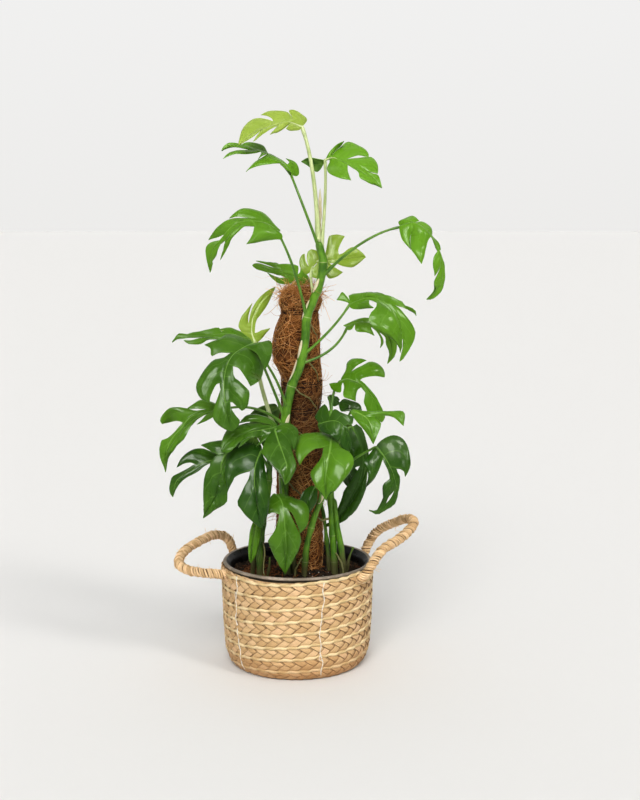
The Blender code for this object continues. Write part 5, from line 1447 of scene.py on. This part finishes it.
        left=((275, 404), (266, 405), (255, 410), tip(245, 420), (254, 418), fork(0.3, 262, 417), (252, 421),
            (242, 431), (236, 442), tip(234, 455), (242, 446), fork(0.6, 252, 436), (243, 446), (239, 457)),
        right=((280, 411), (282, 420), tip(279, 433), (274, 426), fork(0.26, 269, 419), (275, 430),
            (275, 444), tip(268, 456), (263, 446), fork(0.6, 257, 437), (262, 450), (254, 461))),
    "back_low": dict(
        stem="back", height=240, bow=(302, 470, 64), light=0.3,
        ups=((0, 0.7, 0.7), (0, 1, 0.1)),
        line=((304, 465, 72), (299, 470, 88), (296, 480, 98), (292, 500, 106), (290, 520, 110)),
        left=((300, 463), (290, 466), (281, 475), tip(277, 489), (286, 485), fork(0.36, 293, 482),
            (282, 494), (278, 507), (283, 517)),
        right=((307, 463), (316, 466), (322, 477), tip(322, 490), (313, 485), fork(0.36, 302, 483),
            (312, 494), (313, 506), (303, 517))),
}


def cameraFrame():
    # place of the camera in mm, and its directions ahead, up and to the right
    tilt = math.radians(cameraPlan["tilt"])
    ahead = np.array((0.0, math.sin(tilt), -math.cos(tilt)))
    upward = np.array((0.0, math.cos(tilt), math.sin(tilt)))
    return np.array(cameraPlan["place"]) / mm, ahead, upward, np.array((1.0, 0.0, 0.0))


def cameraRay(x, y):
    # direction from the camera through a spot of the photograph
    ahead, upward, right = cameraFrame()[1:]
    middleX, middleY = cameraPlan["middle"]
    return ahead + (right * (x - middleX) + upward * (middleY - y)) / cameraPlan["focal"]


def drawnSpot(x, y, behind):
    # place in space of a spot of the photograph, so far behind the middle of the plant
    place = cameraFrame()[0]
    ray = cameraRay(x, y)
    return place + ray * (behind - place[1]) / ray[1]


def markSpot(spot, line, distance, ups):
    # place in space of a spot drawn on the edge of a blade: so far behind the nearest
    # place of the midrib, or in the plane of the blade there if it gives no distance
    place, ahead, upward, right = cameraFrame()
    middleX, middleY = cameraPlan["middle"]
    away = line - place
    depth = away @ ahead
    seen = np.stack([middleX + cameraPlan["focal"] * (away @ right) / depth,
                     middleY - cameraPlan["focal"] * (away @ upward) / depth], -1)
    nearest = int(np.argmin(((seen - spot[:2]) ** 2).sum(-1)))
    near = line[nearest]
    if len(spot) == 3:
        return drawnSpot(*spot[:2], near[1] + spot[2])
    ray = cameraRay(*spot)
    normal = bladeFrame(np.array(distance[nearest] / distance[-1]), line, distance, ups)[2]
    slope = ray @ normal
    if abs(slope) < 1e-6:
        slope = 1e-6
    onPlane = place + ray * ((near - place) @ normal) / slope
    limit = np.linalg.norm(drawnSpot(*spot, near[1]) - near) + 2.0
    return drawnSpot(*spot, near[1] + np.clip(onPlane[1] - near[1], -limit, limit))


def midribLine(points):
    # the midrib with evenly spaced points, and how far along it each of them lies
    line = evenPath(smoothPath(points, 16), 60)[0]
    return line, distances(line)


def bladeFrame(along, line, distance, ups):
    # place on the midrib, direction ahead and upwards at shares of the blade's length
    spot = readLine(along * distance[-1], distance, line)
    ahead = unit(readLine(along * distance[-1], distance, np.gradient(line, distance, axis=0)))
    up = readLine(along, np.linspace(0, 1, len(ups)), unit(np.array(ups, float)))
    return spot, ahead, unit(up - ahead * (up * ahead).sum(-1, keepdims=True))


def sideLobes(marks, line, distance, ups):
    # lobes of one side: first and last share of the midrib, then the end of the cut behind,
    # the edge behind, the tip, the edge in front and the end of the cut in front
    lobes = []
    start, corner, rear, front, point = 0.0, None, [], [], None
    for item in marks:
        kind = item[0] if isinstance(item[0], str) else "edge"
        place = markSpot(item if kind == "edge" else item[1], line, distance, ups)
        if kind == "tip":
            point = place
        elif kind == "fork":
            lobes.append((start, item[2], corner, rear, point, front, place))
            start, corner, rear, front, point = item[2], place, [], [], None
        else:
            (rear if point is None else front).append(place)
    lobes.append((start, 1.0, corner, rear, line[-1], None, None))
    return lobes


def straightLine(first, last, count):
    # evenly spaced points from one spot to another
    share = np.linspace(0, 1, count)[:, None]
    return first * (1 - share) + last * share


def lobeEdge(root, corner, marks, point):
    # straight along the vein to the end of the cut, then rounded out to the tip of the lobe
    count = leafShape["columns"] + 1
    if corner is None:
        return evenPath(smoothPath([root, *marks, point], 14), count)[0]
    inner = leafShape["forkColumns"]
    vein = straightLine(root, corner, inner + 1)[:-1]
    if not marks:
        return np.vstack([vein, straightLine(corner, point, count - inner)])
    return np.vstack([vein, evenPath(smoothPath([corner, *marks, point], 14), count - inner)[0]])


def lobePatch(lobe, line, distance, hand, arch):
    # surface between the two edges of a lobe, its stretch of midrib and its tip
    first, last, rearCorner, rear, point, front, frontCorner = lobe
    count = max(4, int(round(leafShape["rows"] * (0.35 + (last - first) * 0.9))))
    p = np.linspace(0, 1, count + 1)
    p = 0.4 * p + 0.6 * (0.5 - 0.5 * np.cos(math.pi * p))
    shares = first + (last - first) * p
    base = readLine(shares * distance[-1], distance, line)
    rearEdge = lobeEdge(base[0], rearCorner, rear, point)
    if front is None:
        frontEdge = np.repeat(base[-1:], len(rearEdge), axis=0)
    else:
        frontEdge = lobeEdge(base[-1], frontCorner, front[::-1], point)
    out = np.linspace(0, 1, len(rearEdge))
    down = p[:, None, None]
    inward = 1 - out[None, :, None]
    patch = ((1 - down) * rearEdge[None] + down * frontEdge[None]
             + inward * (base[:, None] - (1 - down) * base[0] - down * base[-1]))
    normal = np.cross(np.gradient(patch, axis=1), np.gradient(patch, axis=0)) * hand
    steep = np.linalg.norm(normal, axis=-1, keepdims=True)
    whole = normal.sum((0, 1))
    normal = np.where(steep > 1e-6, normal / np.maximum(steep, 1e-6), unit(whole))
    bulge = np.sin(math.pi * p)[:, None] ** 0.8 * np.sin(math.pi * out)[None] ** 0.7
    reach = np.linalg.norm(point - (base[0] + base[-1]) / 2)
    return patch + normal * (bulge * arch * reach)[..., None], shares, out, p, whole


def bladeMesh(plan, line, distance, seed):
    # the lobes of both sides as one surface, with the marks that carry the veins
    ups = plan["ups"]
    arch = plan.get("arch", leafShape["arch"])
    length = distance[-1]
    sides = [(hand, sideLobes(plan[side], line, distance, ups))
             for hand, side in ((1, "right"), (-1, "left"))]
    upward = unit(np.mean(np.array(ups, float), axis=0))
    facing = 0.0
    for hand, lobes in sides:
        for lobe in lobes:
            facing += lobePatch(lobe, line, distance, hand, 0.0)[4] @ upward
    turn = 1 if facing > 0 else -1
    shapes = []
    veins = []
    shares = []
    for hand, lobes in sides:
        number = 0.0
        for lobe in lobes:
            patch, station, out, p = lobePatch(lobe, line, distance, hand * turn, arch)[:4]
            up = bladeFrame(station, line, distance, ups)[2]
            calm = np.clip(out * 4, 0, 1)[None]
            flat = patch / length
            uneven = ripple(flat, 0.34, seed) + 0.35 * ripple(flat, 0.13, seed + 1)
            patch = patch + up[:, None] * (leafShape["wave"] * length * calm * uneven)[..., None]
            rows, columns = patch.shape[:2]
            grid = np.arange(rows * columns).reshape(rows, columns)
            quads = np.stack([grid[:-1, :-1], grid[:-1, 1:], grid[1:, 1:], grid[1:, :-1]], -1).reshape(-1, 4)
            shapes.append((patch.reshape(-1, 3), quads[:, ::hand * turn].tolist()))
            step = leafShape["veinStep"] * (2 if lobe[1] - lobe[0] < 0.3 else 3)
            veins.append(number + step * np.repeat(p, columns))
            shares.append(np.tile(out, rows))
            number += step
    return gather(shapes), np.concatenate(veins), np.concatenate(shares)


def applyModifiers(piece):
    bpy.context.view_layer.update()
    evaluated = piece.evaluated_get(bpy.context.evaluated_depsgraph_get())
    mesh = bpy.data.meshes.new_from_object(evaluated)
    piece.modifiers.clear()
    piece.data = mesh


def buildBlade(name, plan, line, distance, seed):
    # one leaf's blade, welded along its veins and thickened, with its underside's own finish
    shape, veins, shares = bladeMesh(plan, line, distance, seed)
    tone = plan.get("tone", "green")
    # own is the leaf's painted light and shade, given to the finish as the mark tone
    own = plan.get("light", 0.5) + np.random.default_rng(seed).uniform(-0.05, 0.05)
    blade = makePiece("blade_" + name, shape, [finishes[tone + "Upper"], finishes[tone + "Under"]],
                      {"vein": veins, "share": shares, "tone": np.full(len(shares), own)})
    shell = bmesh.new()
    shell.from_mesh(blade.data)
    bmesh.ops.remove_doubles(shell, verts=shell.verts, dist=leafShape["weld"] * mm)
    shell.to_mesh(blade.data)
    shell.free()
    solid = blade.modifiers.new("thickness", "SOLIDIFY")
    solid.thickness = leafShape["thickness"] * mm
    solid.offset = 0.0
    solid.material_offset = 1
    solid.material_offset_rim = 1
    applyModifiers(blade)
    blade.data.shade_smooth()
    blade.data.set_sharp_from_angle(angle=math.radians(leafShape["sharp"]))
    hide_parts("leaf_" + name)


stalkShape = dict(   # by shares of the stalk, which runs on from 1 to 2 as the midrib, sunk below the blade
    radii=((0, 3.1), (0.06, 2.5), (0.2, 1.85), (0.86, 1.5), (0.93, 1.85), (0.985, 1.7), (1.06, 1.15),
           (1.3, 0.85), (1.98, 0.3)),
    sunk=((1.02, 0.35), (1.12, 0.75), (2, 0.45)), rows=40, midrib=(0.02, 0.97), midribRows=34, sides=10)


def buildStalk(name, plan, line, distance):
    # stalk with a thicker knee below the blade, running on as the midrib
    shape = stalkShape
    root = stemSpot(plan["stem"], plan["height"])
    base = line[0]
    bend = 2 * drawnSpot(*plan["bow"]) - (root + base) / 2
    s = np.linspace(0, 1, shape["rows"])[:, None]
    stalk = (1 - s) ** 2 * root + 2 * s * (1 - s) * bend + s**2 * base
    along = np.linspace(*shape["midrib"], shape["midribRows"])
    spot, ahead, up = bladeFrame(along, line, distance, plan["ups"])
    rib = spot - up * np.interp(1 + along, *zip(*shape["sunk"]))[:, None]
    share = np.concatenate([s[:, 0], 1 + along])
    radii = np.interp(share, *zip(*shape["radii"])) * plan.get("stout", 1.0)
    ring = np.repeat(np.exp(-((share - 0.03) / 0.02) ** 2), shape["sides"])
    finish = finishes[plan.get("stalk", "limeStalk" if plan.get("tone") == "lime" else "stalk")]
    makePiece("stalk_" + name, rods(np.vstack([stalk, rib]), radii, shape["sides"]), [finish],
              {"node": ring, "bark": 0 * ring}, faceOut=True)


for number, (name, plan) in enumerate(leafPlan.items()):
    midrib, distance = midribLine([drawnSpot(*spot) for spot in plan["line"]])
    buildBlade(name, plan, midrib, distance, 100 + 10 * number)
    buildStalk(name, plan, midrib, distance)
print("leaves unfolded:", len(leafPlan))


# floor, light and camera

studio = dict(   # tones and reach in metres of the floor, tones of the wall, then sky, window, glow and sun
    floor=(0.713, 0.711, 0.706), floorCloud=(0.70, 0.698, 0.692), floorReach=60.0, floorSides=96,
    low=(0.872, 0.866, 0.855), high=(0.925, 0.925, 0.925), rise=0.35, gamma=0.84,
    light=(1.0, 0.995, 0.985), sky=0.07, skyGain=0.58, skyFrom=(-0.10, -0.80, 0.60), skySpan=(-0.45, 0.9),
    window=13.0, windowSize=0.965, windowEdge=0.012,
    wallGlow=0.75, wallFrom=(0.0, 0.90, 0.44), wallSpan=(0.35, 0.95),
    sun=0.85, sunFrom=(1.1, -1.0, 1.25), sunWidth=12.0, sunTone=(1.0, 0.97, 0.93))


def pointing(sky, way, place):
    # how nearly a direction of the sky points at a place, 1 where it does
    toward = tuple(Vector(place).normalized())
    return sky.node("ShaderNodeVectorMath", {"operation": "DOT_PRODUCT"}, {0: way, 1: toward}, "Value")


def buildSky():
    # what lights the plant is a sky with a window; what the camera sees behind it is a pale wall with
    # painted light, paler towards the top
    world = bpy.data.worlds.new("studio")
    world.use_nodes = True
    world.node_tree.nodes.clear()
    sky = Board(world.node_tree)
    way = sky.node("ShaderNodeTexCoord", {}, {}, "Generated")
    toward = pointing(sky, way, studio["skyFrom"])
    behind = pointing(sky, way, studio["wallFrom"])
    height = sky.node("ShaderNodeSeparateXYZ", {}, {0: way}, "Z")
    edge = studio["windowSize"]
    glow = sky.between(toward, *studio["skySpan"], studio["sky"], studio["sky"] + studio["skyGain"],
                       "LINEAR")
    pane = sky.between(toward, edge, edge + studio["windowEdge"], 0.0, studio["window"], "LINEAR")
    back = sky.between(behind, *studio["wallSpan"], 0.0, studio["wallGlow"], "LINEAR")
    # painted light on the wall seen behind: it grows paler from the horizon upwards
    rise = sky.between(height, 0.0, studio["rise"], way="LINEAR")
    seen = sky.node("ShaderNodeBackground", {}, {"Color": sky.blend(rise, studio["low"], studio["high"])})
    lit = sky.node("ShaderNodeBackground", {}, {"Color": studio["light"], "Strength": glow + pane + back})
    direct = sky.node("ShaderNodeLightPath", {}, {}, "Is Camera Ray")
    both = sky.node("ShaderNodeMixShader", {}, {0: direct, 1: lit, 2: seen})
    sky.node("ShaderNodeOutputWorld", {}, {"Surface": both})
    bpy.context.scene.world = world


def buildFloor():
    finish = Finish("paleFloor", {"Roughness": 0.9, "Specular IOR Level": 0.05})
    cloud = finish.noise(1.5) * 0.1
    finish.give({"Base Color": finish.blend(cloud, studio["floor"], studio["floorCloud"])})
    sides = studio["floorSides"]
    mesh = bpy.data.meshes.new("floor")
    mesh.from_pydata(around(ringTurns(sides), studio["floorReach"], 0.0).tolist(), [], [list(range(sides))])
    mesh.materials.append(finish.material)
    addObject("floor", mesh)


def buildSun():
    light = bpy.data.lights.new("sun", "SUN")
    light.energy = studio["sun"]
    light.angle = math.radians(studio["sunWidth"])
    light.color = studio["sunTone"]
    lamp = addObject("sun", light)
    lamp.location = studio["sunFrom"]
    lamp.rotation_euler = (-Vector(studio["sunFrom"])).to_track_quat("-Z", "Y").to_euler()


def buildCamera():
    lens = bpy.data.cameras.new("camera")
    lens.sensor_width = cameraPlan["sensor"]
    lens.lens = cameraPlan["sensor"] * cameraPlan["focal"] / cameraPlan["frame"]
    camera = addObject("camera", lens)
    camera.location = cameraPlan["place"]
    camera.rotation_euler = (math.radians(cameraPlan["tilt"]), 0, 0)
    bpy.context.scene.camera = camera
    bpy.context.scene.view_settings.view_transform = "Standard"
    bpy.context.scene.view_settings.gamma = studio["gamma"]


buildFloor()
buildSky()
buildSun()
buildCamera()
print("studio lit")
